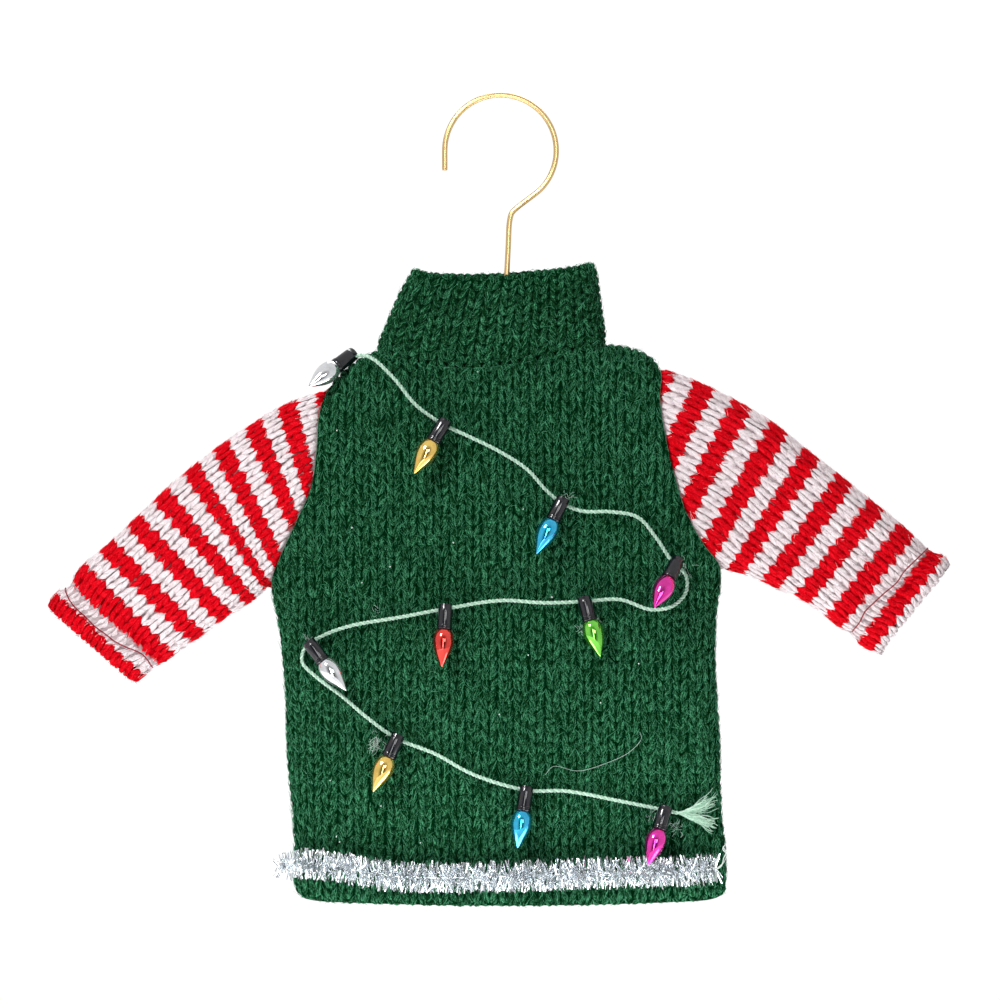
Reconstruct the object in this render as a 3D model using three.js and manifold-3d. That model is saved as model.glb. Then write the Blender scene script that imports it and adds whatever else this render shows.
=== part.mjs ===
// A miniature machine-knit christmas sweater that hangs on a wire hanger, with a string of ten
// small lamps sewn over its front and a strand of tinsel along its hem.
// Millimetres, +Z up, +X to the viewer's right, front towards -Y. The origin is the point inside
// the top of the wire hook where the hanger rests on whatever carries it.
import * as THREE from 'three';
import { mergeVertices } from 'three/addons/utils/BufferGeometryUtils.js';
import Module from 'manifold-3d';

const wasm = await Module();
wasm.setup();

// Driving dimensions
const SEAM_GAP = 0.3; // between two pieces that are sewn or lie together
const ARMHOLE_GAP = 0.45; // across the slanted armhole line, which leaves 0.3 square to it
const SEAM_STEPS = 4; // facets round the fold of a side edge
const BODY_MIDDLE_STEPS = 9; // facets across the flat of the body
const SLEEVE_MIDDLE_STEPS = 4;
const COLLAR_MIDDLE_STEPS = 6;
const LEAST_COLUMN = 0.7; // closest two columns of facets may stand
const NECK_SKEW = 0.7; // the neckline's low point lies left of its middle
const BACK_BOW = 0.35; // the back neckline dips this share of the front one
const RIM_RISE = 1.0; // height of the rounded fold above the collar's top and a cuff's end

const WIRE = { diameter: 1.2, sides: 10, hookSteps: 52, armSteps: 26 };
const HOOK = { radius: 12.3, tipLength: 4.6, endAngle: -44, pointAngle: 14 };
const CORD = { diameter: 1.0, sides: 8, steps: 80 };
const LAMP = {
  sides: 10,
  length: 13.8,
  axisHeight: 2.05, // of the socket's top end over the cloth
  capRadius: 1.25,
  capLength: 1.05,
  barrelRadius: 1.6,
  ringRadius: 1.72,
  ringStart: 4.7,
  socketLength: 5.5,
  bulbRadius: 2.2,
  belly: 0.55, // share of the length at which the bulb is widest
};
const TINSEL = {
  coreRadius: 0.7,
  coreSides: 6,
  height: 1.3, // of the core over the cloth
  leastDepth: 2.4, // the core stays this far in front of the side seams
  reach: 3.3,
  unevenness: 0.16, // of a blade's length
  lean: 0.25, // of a blade along the strand
  bladeRadius: 0.27,
  rows: 46,
  perRow: 5,
  fan: 92, // degrees to each side of straight out
  startLength: 0.35, // share of the full length at the tapered end
  taper: 0.07, // share of the strand that the taper takes
  lampClearance: 0.9,
};

// The body's rows, from the hem to the neckline: the two ends of each row on the outline, how far
// its middle is bowed up, half the depth of the flat tube there, and the wall.
// Row 10 ends at the underarms, row 16 at the shoulder points and row 19 is the neckline.
const BODY_ROWS = [
  // leftX, leftZ, rightX, rightZ, bow, halfDepth, wall
  [-42.8, -177.3, 47.3, -177.1, -1.2, 4.8, 2.2],
  [-45.0, -175.4, 49.5, -175.6, -0.9, 5.0, 2.3],
  [-45.8, -171.9, 50.0, -172.4, -0.4, 5.0, 2.3],
  [-45.6, -165.8, 49.8, -165.3, 0, 5.0, 2.0],
  [-46.0, -158.1, 49.0, -158.1, 0, 5.0, 2.0],
  [-46.8, -150.8, 48.7, -150.5, 0, 5.0, 2.0],
  [-47.4, -142.7, 48.6, -142.0, 0, 5.0, 2.0],
  [-47.6, -132.8, 47.9, -132.0, 0, 5.0, 2.0],
  [-48.4, -122.9, 47.5, -122.0, 0, 5.0, 2.0],
  [-49.4, -114.7, 47.9, -113.0, 0, 5.0, 2.0],
  [-50.6, -107.7, 48.7, -104.4, 0, 5.0, 2.0],
  [-48.3, -100.9, 44.3, -98.0, 0, 5.0, 2.0],
  [-44.8, -93.2, 40.6, -90.8, 0, 5.0, 2.0],
  [-41.7, -86.1, 38.2, -83.0, 0, 5.0, 2.0],
  [-40.5, -77.8, 36.3, -74.7, 0, 5.0, 2.0],
  [-40.0, -70.7, 35.1, -66.8, -0.8, 5.0, 2.0],
  [-38.4, -64.3, 35.3, -59.5, -1.8, 4.9, 2.0],
  [-34.2, -59.7, 32.5, -56.6, -3.4, 4.8, 2.0],
  [-29.9, -56.7, 28.8, -55.1, -4.3, 4.7, 2.0],
  [-26.9, -55.5, 22.7, -54.2, -4.6, 4.6, 2.0],
];
const UNDERARM_ROW = 10;
const SHOULDER_ROW = 16;
const NECK_ROW = BODY_ROWS.length - 1;
const BODY_DEPTH = 5.0; // half the depth over most of the body
const BODY_CUTS = [0, 0.5, 1, 2, 3, 4, 5, 6, 7, 8, 9, 9.5, 10, 10.5, 11, 12, 13, 14, 15, 15.5, 16,
  16.5, 17, 17.5, 18, 18.5, 19];

// Each sleeve's stations from the armhole to the end of its folded cuff: the station's end on the
// top fold and on the bottom fold, the bow of the line between them, half the depth, the wall.
// The first station's line is the body's own armhole edge.
const RIGHT_SLEEVE = [
  // topX, topZ, bottomX, bottomZ, bow, halfDepth, wall
  [-38.7, -64.4, -50.9, -107.7, 0, 4.6, 1.9],
  [-47.5, -67.6, -54.5, -111.0, 2.4, 4.6, 1.8],
  [-56.0, -72.6, -58.2, -113.5, 1.8, 4.6, 1.8],
  [-64.5, -78.5, -62.0, -116.4, 1.2, 4.5, 1.8],
  [-72.5, -85.0, -66.0, -119.0, 0.7, 4.4, 1.8],
  [-80.0, -92.1, -69.8, -121.4, 0.3, 4.4, 1.8],
  [-87.5, -99.1, -73.2, -124.1, 0, 4.3, 1.8],
  [-92.8, -103.6, -75.6, -125.9, 0, 4.3, 1.9],
  [-95.8, -107.7, -77.3, -127.0, 0, 4.1, 1.8],
  [-98.3, -109.3, -79.0, -128.6, 0, 4.8, 2.3],
  [-99.9, -111.8, -80.2, -129.2, 0, 4.6, 2.2],
];
const LEFT_SLEEVE = [
  // topX, topZ, bottomX, bottomZ, bow, halfDepth, wall
  [35.6, -59.6, 49.0, -104.4, 0, 4.6, 1.9],
  [43.5, -62.5, 52.6, -105.0, -2.2, 4.6, 1.8],
  [51.8, -66.6, 56.2, -106.4, -1.7, 4.6, 1.8],
  [60.0, -71.4, 60.0, -108.0, -1.2, 4.5, 1.8],
  [67.5, -77.4, 63.8, -109.8, -0.7, 4.4, 1.8],
  [75.0, -83.2, 67.4, -111.6, -0.3, 4.4, 1.8],
  [82.2, -89.0, 70.9, -113.9, 0, 4.3, 1.8],
  [89.0, -94.5, 74.0, -116.6, 0, 4.3, 1.9],
  [94.1, -99.0, 76.6, -118.2, 0, 4.1, 1.8],
  [97.4, -100.6, 78.6, -120.6, 0, 4.8, 2.3],
  [99.5, -102.9, 81.2, -122.3, 0, 4.6, 2.2],
];

// The collar's rings, from its seam on the neckline up to its fold
const COLLAR_ROWS = [
  // leftX, leftZ, rightX, rightZ, bow, halfDepth, wall
  [-27.4, -55.1, 23.3, -53.8, -4.6, 4.8, 2.4],
  [-27.0, -53.4, 23.4, -52.2, -4.1, 5.5, 2.7],
  [-25.9, -50.9, 23.0, -49.2, -3.5, 5.9, 2.8],
  [-23.9, -46.1, 22.4, -44.8, -2.8, 5.9, 2.8],
  [-22.1, -42.1, 21.9, -40.8, -2.4, 5.7, 2.8],
  [-20.2, -39.0, 21.2, -37.6, -2.2, 5.5, 2.8],
];

// Soft troughs (depth above 0) and ridges (below 0) in the cloth
const FOLDS = [
  // side (-1 front, 1 back), x, z, halfLength, halfWidth, depth, tilt in degrees
  [-1, -22, -98, 26, 7, 0.8, -4],
  [-1, 33, -103, 15, 8, 0.8, 24],
  [-1, 3, -133, 18, 9, 0.5, 8],
  [-1, -6, -66, 27, 6, -0.4, 0],
  [-1, -31, -158, 15, 12, -0.4, 60],
  [-1, 34, -140, 12, 14, -0.4, 0],
  [-1, -57, -98, 16, 4, 0.45, 52],
  [-1, 56, -92, 17, 4, 0.45, -50],
  [-1, -80, -108, 12, 4, 0.3, 40],
  [-1, 78, -101, 12, 4, 0.3, -36],
  [1, 16, -96, 28, 7, 0.8, 5],
  [1, -30, -112, 16, 8, 0.7, -20],
  [1, -4, -140, 20, 9, 0.5, -6],
  [1, 30, -160, 14, 12, -0.4, -50],
  [1, -56, -96, 16, 4, 0.45, 46],
  [1, 58, -90, 17, 4, 0.45, -44],
];

// The lamps: where each socket's top and each bulb's tip lie on the front, how far the tip leans
// out of the cloth, the lacquer of the bulb, and how far back the first one lies on the shoulder
const LAMPS = [
  // topX, topZ, tipX, tipZ, lean in degrees, bulb colour, set back
  [-32.3, -56.4, -41.8, -63.6, 26, 'silver', 1.6],
  [-12.0, -71.2, -18.6, -82.4, 8, 'gold'],
  [13.9, -88.3, 8.0, -100.4, 8, 'blue'],
  [39.0, -101.8, 33.8, -112.0, 31, 'magenta'],
  [-12.0, -111.7, -12.9, -125.5, 7, 'red'],
  [18.2, -110.0, 21.9, -123.2, 7, 'green'],
  [-42.3, -119.8, -34.1, -130.4, 7, 'silver'],
  [-22.4, -140.3, -27.8, -152.5, 7, 'gold'],
  [5.8, -151.7, 3.7, -165.5, 7, 'blue'],
  [36.4, -156.1, 32.2, -169.6, 14, 'magenta'],
];
const BULB_COLOURS = {
  silver: 0xd9dce0,
  gold: 0xd9a62e,
  blue: 0x1e8fd0,
  magenta: 0xd0208c,
  red: 0xd8281f,
  green: 0x4fb52c,
};

// The cord's route over the front, from the first lamp to its frayed end
const CORD_ROUTE = [
  // x, z, and how far it is lifted off the cloth where that isn't 0
  [-32.2, -57.1, 0.6],
  [-30.4, -56.9, 1.4],
  [-27.8, -57.9, 1.2],
  [-23.4, -62.1, 0.1],
  [-18.6, -67.9],
  [-12.5, -72.2],
  [-7.2, -74.7],
  [-0.1, -78.2],
  [6.0, -82.2],
  [10.0, -86.6],
  [13.4, -89.4],
  [17.9, -91.2],
  [24.5, -91.4],
  [30.2, -92.6],
  [34.3, -97.2],
  [37.8, -102.4],
  [40.7, -105.2],
  [40.8, -109.0],
  [37.9, -112.1],
  [33.1, -112.9],
  [26.3, -110.7],
  [18.6, -111.1],
  [9.8, -111.4],
  [-0.1, -110.9],
  [-12.0, -112.7],
  [-21.7, -114.5],
  [-33.1, -116.5],
  [-39.0, -118.6],
  [-42.9, -121.2],
  [-43.6, -124.4],
  [-40.4, -127.8],
  [-34.9, -131.9],
  [-29.4, -136.6],
  [-22.9, -141.2],
  [-14.4, -144.6],
  [-6.1, -149.1],
  [5.7, -152.6],
  [14.4, -152.8],
  [26.3, -155.0],
  [36.1, -157.0],
  [42.2, -158.4],
];

// The tinsel's line along the hem, past the left side seam and tied off at the right one
const TINSEL_ROUTE = [
  // x, z
  [-49.0, -169.5],
  [-44.1, -168.8],
  [-34.2, -169.8],
  [-22.1, -171.6],
  [0, -171.5],
  [22.0, -170.8],
  [40.0, -170.4],
  [47.6, -169.9],
];

// The hanger's shoulder wire inside the body, from the viewer's left to the right
const SHOULDER_WIRE = [
  // x, z
  [-37.4, -68.9],
  [-35.9, -66.0],
  [-32.2, -61.8],
  [-24.6, -57.9],
  [-12.0, -54.6],
  [0.9, -51.6],
  [12.0, -54.4],
  [22.2, -57.0],
  [29.6, -58.9],
  [33.6, -62.0],
];
const WIRE_APEX = SHOULDER_WIRE[5];

// The hook's wire from the end of its round bend down to the shoulder wire
const HOOK_STEM = [
  // x, z
  [6.4, -22.2],
  [3.9, -24.1],
  [2.5, -25.5],
  [2.0, -27.4],
  [1.7, -33.0],
  [1.2, -43.0],
];

const FINISH = {
  greenKnit: { color: 0x145a36, roughness: 0.95, metalness: 0 },
  stripedKnit: { color: 0xd8404a, roughness: 0.95, metalness: 0 },
  goldWire: { color: 0xe0b870, roughness: 0.3, metalness: 1 },
  paleCord: { color: 0xbfe0cc, roughness: 0.85, metalness: 0 },
  blackPlastic: { color: 0x101014, roughness: 0.25, metalness: 0 },
  silverFoil: { color: 0xc8ccd0, roughness: 0.3, metalness: 1 },
};

const object = new THREE.Group();

function addPiece(name, geometry, finish) {
  const piece = new THREE.Mesh(geometry, new THREE.MeshStandardMaterial(finish));
  piece.name = name;
  object.add(piece);
  return piece;
}

const mix = (a, b, t) => a + (b - a) * t;

// A table of rows as smooth curves: its two edges and its sizes at any place between two rows
function rowTable(rows, skew = 0) {
  const edge = (x, z) => new THREE.CatmullRomCurve3(
    rows.map((row) => new THREE.Vector3(row[x], 0, row[z])), false, 'centripetal');
  const edges = [edge(0, 1), edge(2, 3)];
  const last = rows.length - 1;
  return (place) => {
    const below = Math.min(Math.floor(place), last - 1);
    const part = place - below;
    const size = (column) => mix(rows[below][column], rows[below + 1][column], part);
    const [from, to] = edges.map((curve) => curve.getPoint(place / last));
    return { from, to, bow: size(4), skew, depth: size(5), wall: size(6) };
  };
}

const bodyRow = rowTable(BODY_ROWS);
const sleeveRow = { left: rowTable(LEFT_SLEEVE), right: rowTable(RIGHT_SLEEVE) };
const collarRow = rowTable(COLLAR_ROWS, NECK_SKEW);

// A point of a row's line in the flat of the garment, t from 0 to 1 along it
function linePoint(line, t) {
  if (line.edge) return line.edge(t);
  const along = line.to.clone().sub(line.from);
  const up = new THREE.Vector3(-along.z, 0, along.x).normalize();
  const bow = line.bow * 4 * t * (1 - t) * (1 + line.skew * (0.5 - t));
  return line.from.clone().addScaledVector(along, t).addScaledVector(up, bow);
}

// The folded outline of the garment, as lines that its cloth turns round on
function outlineOf(table, end, places) {
  return places.map((place) => table(place)[end]);
}

const steps = (from, to, step) => {
  const count = Math.round(Math.abs(to - from) / step);
  return Array.from({ length: count + 1 }, (_, i) => mix(from, to, i / count));
};

const CUFF_END = RIGHT_SLEEVE.length - 1;
const GARMENT_OUTLINE = [
  [...outlineOf(bodyRow, 'from', steps(0, UNDERARM_ROW, 0.5)),
    ...outlineOf(sleeveRow.right, 'to', steps(0, CUFF_END, 0.5))],
  [...outlineOf(sleeveRow.right, 'from', steps(CUFF_END, 0, 0.5)),
    ...outlineOf(bodyRow, 'from', steps(SHOULDER_ROW, NECK_ROW, 0.5))],
  [...outlineOf(bodyRow, 'to', steps(0, UNDERARM_ROW, 0.5)),
    ...outlineOf(sleeveRow.left, 'to', steps(0, CUFF_END, 0.5))],
  [...outlineOf(sleeveRow.left, 'from', steps(CUFF_END, 0, 0.5)),
    ...outlineOf(bodyRow, 'to', steps(SHOULDER_ROW, NECK_ROW, 0.5))],
];
const COLLAR_OUTLINE = [
  outlineOf(collarRow, 'from', steps(0, COLLAR_ROWS.length - 1, 0.5)),
  outlineOf(collarRow, 'to', steps(0, COLLAR_ROWS.length - 1, 0.5)),
];

// Distance from a point to the outline, and the direction towards the nearest place on it
function toOutline(outline, point) {
  let distance = Infinity;
  const nearest = new THREE.Vector3();
  const segment = new THREE.Line3();
  const foot = new THREE.Vector3();
  for (const line of outline) {
    for (let i = 0; i + 1 < line.length; i += 1) {
      segment.set(line[i], line[i + 1]);
      segment.closestPointToPoint(point, true, foot);
      const length = foot.distanceTo(point);
      if (length < distance) {
        distance = length;
        nearest.copy(foot);
      }
    }
  }
  return { distance, direction: nearest.sub(point).normalize() };
}

function foldDepth(side, x, z) {
  let depth = 0;
  for (const [foldSide, foldX, foldZ, halfLength, halfWidth, fold, tilt] of FOLDS) {
    if (foldSide === side) {
      const angle = THREE.MathUtils.degToRad(tilt);
      const dx = x - foldX;
      const dz = z - foldZ;
      const along = (dx * Math.cos(angle) + dz * Math.sin(angle)) / halfLength;
      const across = (dz * Math.cos(angle) - dx * Math.sin(angle)) / halfWidth;
      depth += fold * Math.exp(-along * along - across * across);
    }
  }
  return depth;
}

// The cloth's outer face over a point of the flat: it turns round the outline on half its depth.
// A row at a piece's end keeps its inner edge on the row's own line.
function clothPoint(outline, line, t, side, leastDepth = 0) {
  const flat = linePoint(line, t);
  const { distance, direction } = toOutline(outline, flat);
  if (distance < 1e-4) {
    direction.copy(linePoint(line, t < 0.5 ? 0.1 : 0.9)).sub(flat).negate().normalize();
  }
  const turn = 1 - Math.min(distance, line.depth) / line.depth;
  const rise = Math.sqrt(1 - turn * turn);
  const fold = foldDepth(side, flat.x, flat.z) * rise * rise;
  const depth = Math.max(line.depth * rise - fold, leastDepth);
  const outer = new THREE.Vector3(flat.x, side * depth, flat.z);
  const normal = direction.multiplyScalar(turn).setY(side * rise).normalize();
  const inner = outer.clone().addScaledVector(normal, -line.wall);
  if (line.keepsInnerEdge) {
    const shift = (line.wall * turn) / line.from.distanceTo(line.to);
    const within = linePoint(line, t < 0.5 ? t + shift : t - shift);
    inner.x = within.x;
    inner.z = within.z;
  }
  if (inner.y * side < leastDepth) inner.y = side * leastDepth;
  return { outer, inner };
}

// Columns across a row: closer where the cloth turns round the outline
function columnsOf(outline, line, middleSteps) {
  const length = line.from.distanceTo(line.to);
  const fromEnd = (atStart) => {
    const columns = [0];
    for (let k = 1; k <= SEAM_STEPS; k += 1) {
      const wanted = line.depth * (1 - Math.cos((k / SEAM_STEPS) * Math.PI / 2));
      let low = 0;
      let high = 0.4;
      for (let pass = 0; pass < 24; pass += 1) {
        const t = (low + high) / 2;
        const reached = toOutline(outline, linePoint(line, atStart ? t : 1 - t)).distance;
        if (reached < wanted) low = t;
        else high = t;
      }
      columns.push(Math.max(high, columns[k - 1] + LEAST_COLUMN / length));
    }
    return columns;
  };
  const start = fromEnd(true);
  const end = fromEnd(false).map((t) => 1 - t).reverse();
  const first = start[SEAM_STEPS];
  const middle = Array.from({ length: middleSteps - 1 },
    (_, i) => mix(first, end[0], (i + 1) / middleSteps));
  return [...start, ...middle, ...end];
}

// One closed body from loops of points that are joined each to the next. Open loops' ends are
// closed by strips between a loop's two halves.
function solidFromLoops(loops, joinEnds) {
  const size = loops[0].length;
  const points = loops.flat();
  const faces = [];
  const quad = (a, b, c, d) => faces.push(a, b, c, a, c, d);
  const last = joinEnds ? loops.length : loops.length - 1;
  for (let i = 0; i < last; i += 1) {
    const next = (i + 1) % loops.length;
    for (let k = 0; k < size; k += 1) {
      const after = (k + 1) % size;
      quad(i * size + k, i * size + after, next * size + after, next * size + k);
    }
  }
  if (!joinEnds) {
    const top = (loops.length - 1) * size;
    for (let k = 0; k + 1 < size / 2; k += 1) {
      const back = size - 1 - k;
      quad(k, back, back - 1, k + 1);
      quad(top + k, top + k + 1, top + back - 1, top + back);
    }
  }
  let volume = 0;
  for (let i = 0; i < faces.length; i += 3) {
    const [a, b, c] = [0, 1, 2].map((k) => points[faces[i + k]]);
    volume += a.dot(new THREE.Vector3().crossVectors(b, c));
  }
  if (volume < 0) faces.reverse();
  const geometry = new THREE.BufferGeometry();
  geometry.setAttribute('position',
    new THREE.Float32BufferAttribute(points.flatMap((p) => [p.x, p.y, p.z]), 3));
  geometry.setIndex(faces);
  geometry.computeVertexNormals();
  return geometry;
}

// Front and back: each is half of the flat tube, open at the hem, armholes and neck
function bodyPanel(side) {
  const loops = BODY_CUTS.map((place) => {
    const line = bodyRow(place);
    line.skew = place > UNDERARM_ROW ? NECK_SKEW : 0;
    if (side > 0 && place > UNDERARM_ROW) line.bow *= BACK_BOW;
    const columns = columnsOf(GARMENT_OUTLINE, line, BODY_MIDDLE_STEPS);
    const points = columns.map((t) => clothPoint(GARMENT_OUTLINE, line, t, side, SEAM_GAP / 2));
    return [...points.map((p) => p.outer), ...points.map((p) => p.inner).reverse()];
  });
  return solidFromLoops(loops, false);
}

// A closed ring of the cloth round a flat tube: across its back, and back along its front
function ringOf(outline, front, back, middleSteps) {
  const across = (line, side) => columnsOf(outline, line, middleSteps)
    .map((t) => clothPoint(outline, line, t, side));
  return [...across(back, 1), ...across(front, -1).reverse().slice(1, -1)];
}

// A tube of cloth from its rings, with a rounded fold at its last ring where one is asked for
function clothTube(rings, foldDirection) {
  const outer = rings.map((ring) => ring.map((p) => p.outer));
  const inner = rings.map((ring) => ring.map((p) => p.inner)).reverse();
  const fold = rings[rings.length - 1].map((p) => p.outer.clone().lerp(p.inner, 0.5)
    .addScaledVector(foldDirection, RIM_RISE));
  return solidFromLoops([...outer, fold, ...inner], true);
}

function sleeve(name, table, end, outward) {
  const rings = steps(0, CUFF_END, 1).map((place) => {
    const line = table(place);
    line.skew = 0;
    line.keepsInnerEdge = place === 0 || place === CUFF_END;
    if (place === 0) {
      line.edge = (t) => bodyRow(mix(SHOULDER_ROW, UNDERARM_ROW, t))[end].clone()
        .add(new THREE.Vector3(outward * ARMHOLE_GAP, 0, 0));
    }
    return ringOf(GARMENT_OUTLINE, line, line, SLEEVE_MIDDLE_STEPS);
  });
  const cuff = table(CUFF_END);
  const across = cuff.to.clone().sub(cuff.from);
  const along = new THREE.Vector3(outward * Math.abs(across.z), 0, -Math.abs(across.x)).normalize();
  return addPiece(name, clothTube(rings, along), FINISH.stripedKnit);
}

function collar() {
  const rings = steps(0, COLLAR_ROWS.length - 1, 1).map((place) => {
    const front = collarRow(place);
    const back = collarRow(place);
    back.bow *= mix(BACK_BOW, 0.6, place / (COLLAR_ROWS.length - 1));
    front.keepsInnerEdge = place === 0;
    back.keepsInnerEdge = place === 0;
    return ringOf(COLLAR_OUTLINE, front, back, COLLAR_MIDDLE_STEPS);
  });
  return addPiece('collar', clothTube(rings, new THREE.Vector3(0, 0, 1)), FINISH.greenKnit);
}

// The front cloth's outer face at a place in the flat
function frontFace(x, z) {
  const line = { edge: () => new THREE.Vector3(x, 0, z), depth: BODY_DEPTH, wall: 0 };
  return clothPoint(GARMENT_OUTLINE, line, 0, -1, SEAM_GAP / 2).outer.y;
}

function circleShape(radius, sides) {
  const shape = new THREE.Shape();
  for (let i = 0; i < sides; i += 1) {
    const angle = (i / sides) * Math.PI * 2;
    shape[i ? 'lineTo' : 'moveTo'](radius * Math.cos(angle), radius * Math.sin(angle));
  }
  shape.closePath();
  return shape;
}

function sweep(points, radius, sides, count) {
  const path = new THREE.CatmullRomCurve3(points, false, 'centripetal');
  return new THREE.ExtrudeGeometry(circleShape(radius, sides),
    { steps: count, bevelEnabled: false, extrudePath: path });
}

function toSolid(geometry) {
  const bare = geometry.clone();
  bare.deleteAttribute('normal');
  bare.deleteAttribute('uv');
  const merged = mergeVertices(bare, 1e-4);
  return new wasm.Manifold(new wasm.Mesh({
    numProp: 3,
    vertProperties: new Float32Array(merged.attributes.position.array),
    triVerts: new Uint32Array(merged.index.array),
  }));
}

function toGeometry(solid) {
  const mesh = solid.getMesh();
  const geometry = new THREE.BufferGeometry();
  geometry.setAttribute('position', new THREE.BufferAttribute(mesh.vertProperties, 3));
  geometry.setIndex(new THREE.BufferAttribute(mesh.triVerts, 1));
  return geometry;
}

// The hanger: an open hook whose stem runs down into the neck, soldered to a bowed shoulder wire
function hanger() {
  const centreZ = WIRE.diameter / 2 - HOOK.radius;
  const onHook = (degrees) => {
    const angle = THREE.MathUtils.degToRad(degrees);
    return new THREE.Vector3(HOOK.radius * Math.cos(angle), 0,
      centreZ + HOOK.radius * Math.sin(angle));
  };
  const points = [
    new THREE.Vector3(-HOOK.radius, 0, centreZ - HOOK.tipLength),
    new THREE.Vector3(-HOOK.radius, 0, centreZ - HOOK.tipLength / 2),
    ...steps(180, HOOK.endAngle, HOOK.pointAngle).map(onHook),
    ...[...HOOK_STEM, WIRE_APEX].map(([x, z]) => new THREE.Vector3(x, 0, z)),
  ];
  const hook = sweep(points, WIRE.diameter / 2, WIRE.sides, WIRE.hookSteps);
  const arms = sweep(SHOULDER_WIRE.map(([x, z]) => new THREE.Vector3(x, 0, z)),
    WIRE.diameter / 2, WIRE.sides, WIRE.armSteps);
  addPiece('hanger', toGeometry(toSolid(hook).add(toSolid(arms))), FINISH.goldWire);
}

// The string of lamps
function lampPlace([topX, topZ, tipX, tipZ, lean, , setBack = 0]) {
  const angle = THREE.MathUtils.degToRad(lean);
  const flat = new THREE.Vector3(tipX - topX, 0, tipZ - topZ).normalize();
  const axis = flat.multiplyScalar(Math.cos(angle)).setY(-Math.sin(angle));
  const top = new THREE.Vector3(topX, 0, topZ);
  const belly = frontFace(mix(topX, tipX, LAMP.belly), mix(topZ, tipZ, LAMP.belly));
  top.y = Math.min(frontFace(topX, topZ), belly) - LAMP.axisHeight + setBack;
  return { top, axis };
}

function turned(profile, { top, axis }) {
  const geometry = new THREE.LatheGeometry(
    profile.map(([radius, along]) => new THREE.Vector2(radius, along)), LAMP.sides);
  geometry.applyQuaternion(new THREE.Quaternion()
    .setFromUnitVectors(new THREE.Vector3(0, 1, 0), axis));
  geometry.translate(top.x, top.y, top.z);
  return geometry;
}

const SOCKET_PROFILE = [
  // radius, distance from the socket's top
  [0, 0],
  [LAMP.capRadius - 0.2, 0],
  [LAMP.capRadius, 0.25],
  [LAMP.capRadius, LAMP.capLength],
  [LAMP.barrelRadius, LAMP.capLength + 0.1],
  [LAMP.barrelRadius, LAMP.ringStart],
  [LAMP.ringRadius, LAMP.ringStart + 0.1],
  [LAMP.ringRadius, LAMP.socketLength],
  [0, LAMP.socketLength],
];
const BULB_PROFILE = [
  // radius, distance from the socket's top
  [0, LAMP.socketLength + SEAM_GAP],
  [1.45, LAMP.socketLength + SEAM_GAP],
  [1.95, 6.5],
  [LAMP.bulbRadius, 7.6],
  [2.08, 9.2],
  [1.6, 10.9],
  [0.95, 12.4],
  [0.45, 13.4],
  [0, LAMP.length],
];

function lights() {
  const route = CORD_ROUTE.map(([x, z, lift = 0]) => new THREE.Vector3(
    x, frontFace(x, z) - SEAM_GAP - CORD.diameter / 2 - lift, z));
  const cord = sweep(route, CORD.diameter / 2, CORD.sides, CORD.steps);
  addPiece('light_cord', cord, FINISH.paleCord);
  const clearance = CORD.diameter / 2 + SEAM_GAP;
  const cordEnd = new THREE.IcosahedronGeometry(clearance, 1);
  cordEnd.translate(route[0].x, route[0].y, route[0].z);
  const groove = toSolid(sweep(route, clearance, CORD.sides, CORD.steps)).add(toSolid(cordEnd));
  LAMPS.forEach((lamp, index) => {
    const number = String(index + 1).padStart(2, '0');
    const place = lampPlace(lamp);
    const socket = toSolid(turned(SOCKET_PROFILE, place)).subtract(groove);
    addPiece(`socket_${number}`, toGeometry(socket), FINISH.blackPlastic);
    addPiece(`bulb_${number}`, turned(BULB_PROFILE, place),
      { color: BULB_COLOURS[lamp[5]], roughness: 0.2, metalness: 0.9 });
  });
}

// Tinsel: a thin core with foil blades that stand out all round, but not into the cloth
function tinsel() {
  const route = TINSEL_ROUTE.map(([x, z]) => new THREE.Vector3(
    x, Math.min(frontFace(x, z), -TINSEL.leastDepth) - TINSEL.height - TINSEL.coreRadius, z));
  const path = new THREE.CatmullRomCurve3(route, false, 'centripetal');
  let solid = toSolid(sweep(route, TINSEL.coreRadius, TINSEL.coreSides, TINSEL.rows));
  const lastLamp = lampPlace(LAMPS[LAMPS.length - 1]);
  const lampLine = new THREE.Line3(lastLamp.top,
    lastLamp.top.clone().addScaledVector(lastLamp.axis, LAMP.length));
  const foot = new THREE.Vector3();
  for (let row = 0; row < TINSEL.rows; row += 1) {
    for (let k = 0; k < TINSEL.perRow; k += 1) {
      const order = row * TINSEL.perRow + k;
      const along = (row + (k + 0.5) / TINSEL.perRow) / TINSEL.rows;
      const turn = (k + 0.5 * (row % 2)) / (TINSEL.perRow - 0.5);
      const angle = THREE.MathUtils.degToRad(mix(-TINSEL.fan, TINSEL.fan, turn));
      const reach = TINSEL.reach * (1 - TINSEL.unevenness * (1 - Math.sin(order * 2.4))) *
        mix(TINSEL.startLength, 1, Math.min(1, along / TINSEL.taper));
      const lean = TINSEL.lean * Math.sin(order * 1.7);
      const blade = new THREE.Vector3(lean, -Math.cos(angle), Math.sin(angle)).normalize();
      const root = path.getPointAt(along);
      const tip = root.clone().addScaledVector(blade, reach);
      lampLine.closestPointToPoint(tip, true, foot);
      if (foot.distanceTo(tip) > LAMP.bulbRadius + TINSEL.lampClearance) {
        const spike = new THREE.ConeGeometry(TINSEL.bladeRadius, reach, 3);
        spike.translate(0, reach / 2, 0);
        spike.applyQuaternion(new THREE.Quaternion()
          .setFromUnitVectors(new THREE.Vector3(0, 1, 0), blade));
        spike.translate(root.x, root.y, root.z);
        solid = solid.add(toSolid(spike));
      }
    }
  }
  addPiece('tinsel', toGeometry(solid), FINISH.silverFoil);
}

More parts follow.
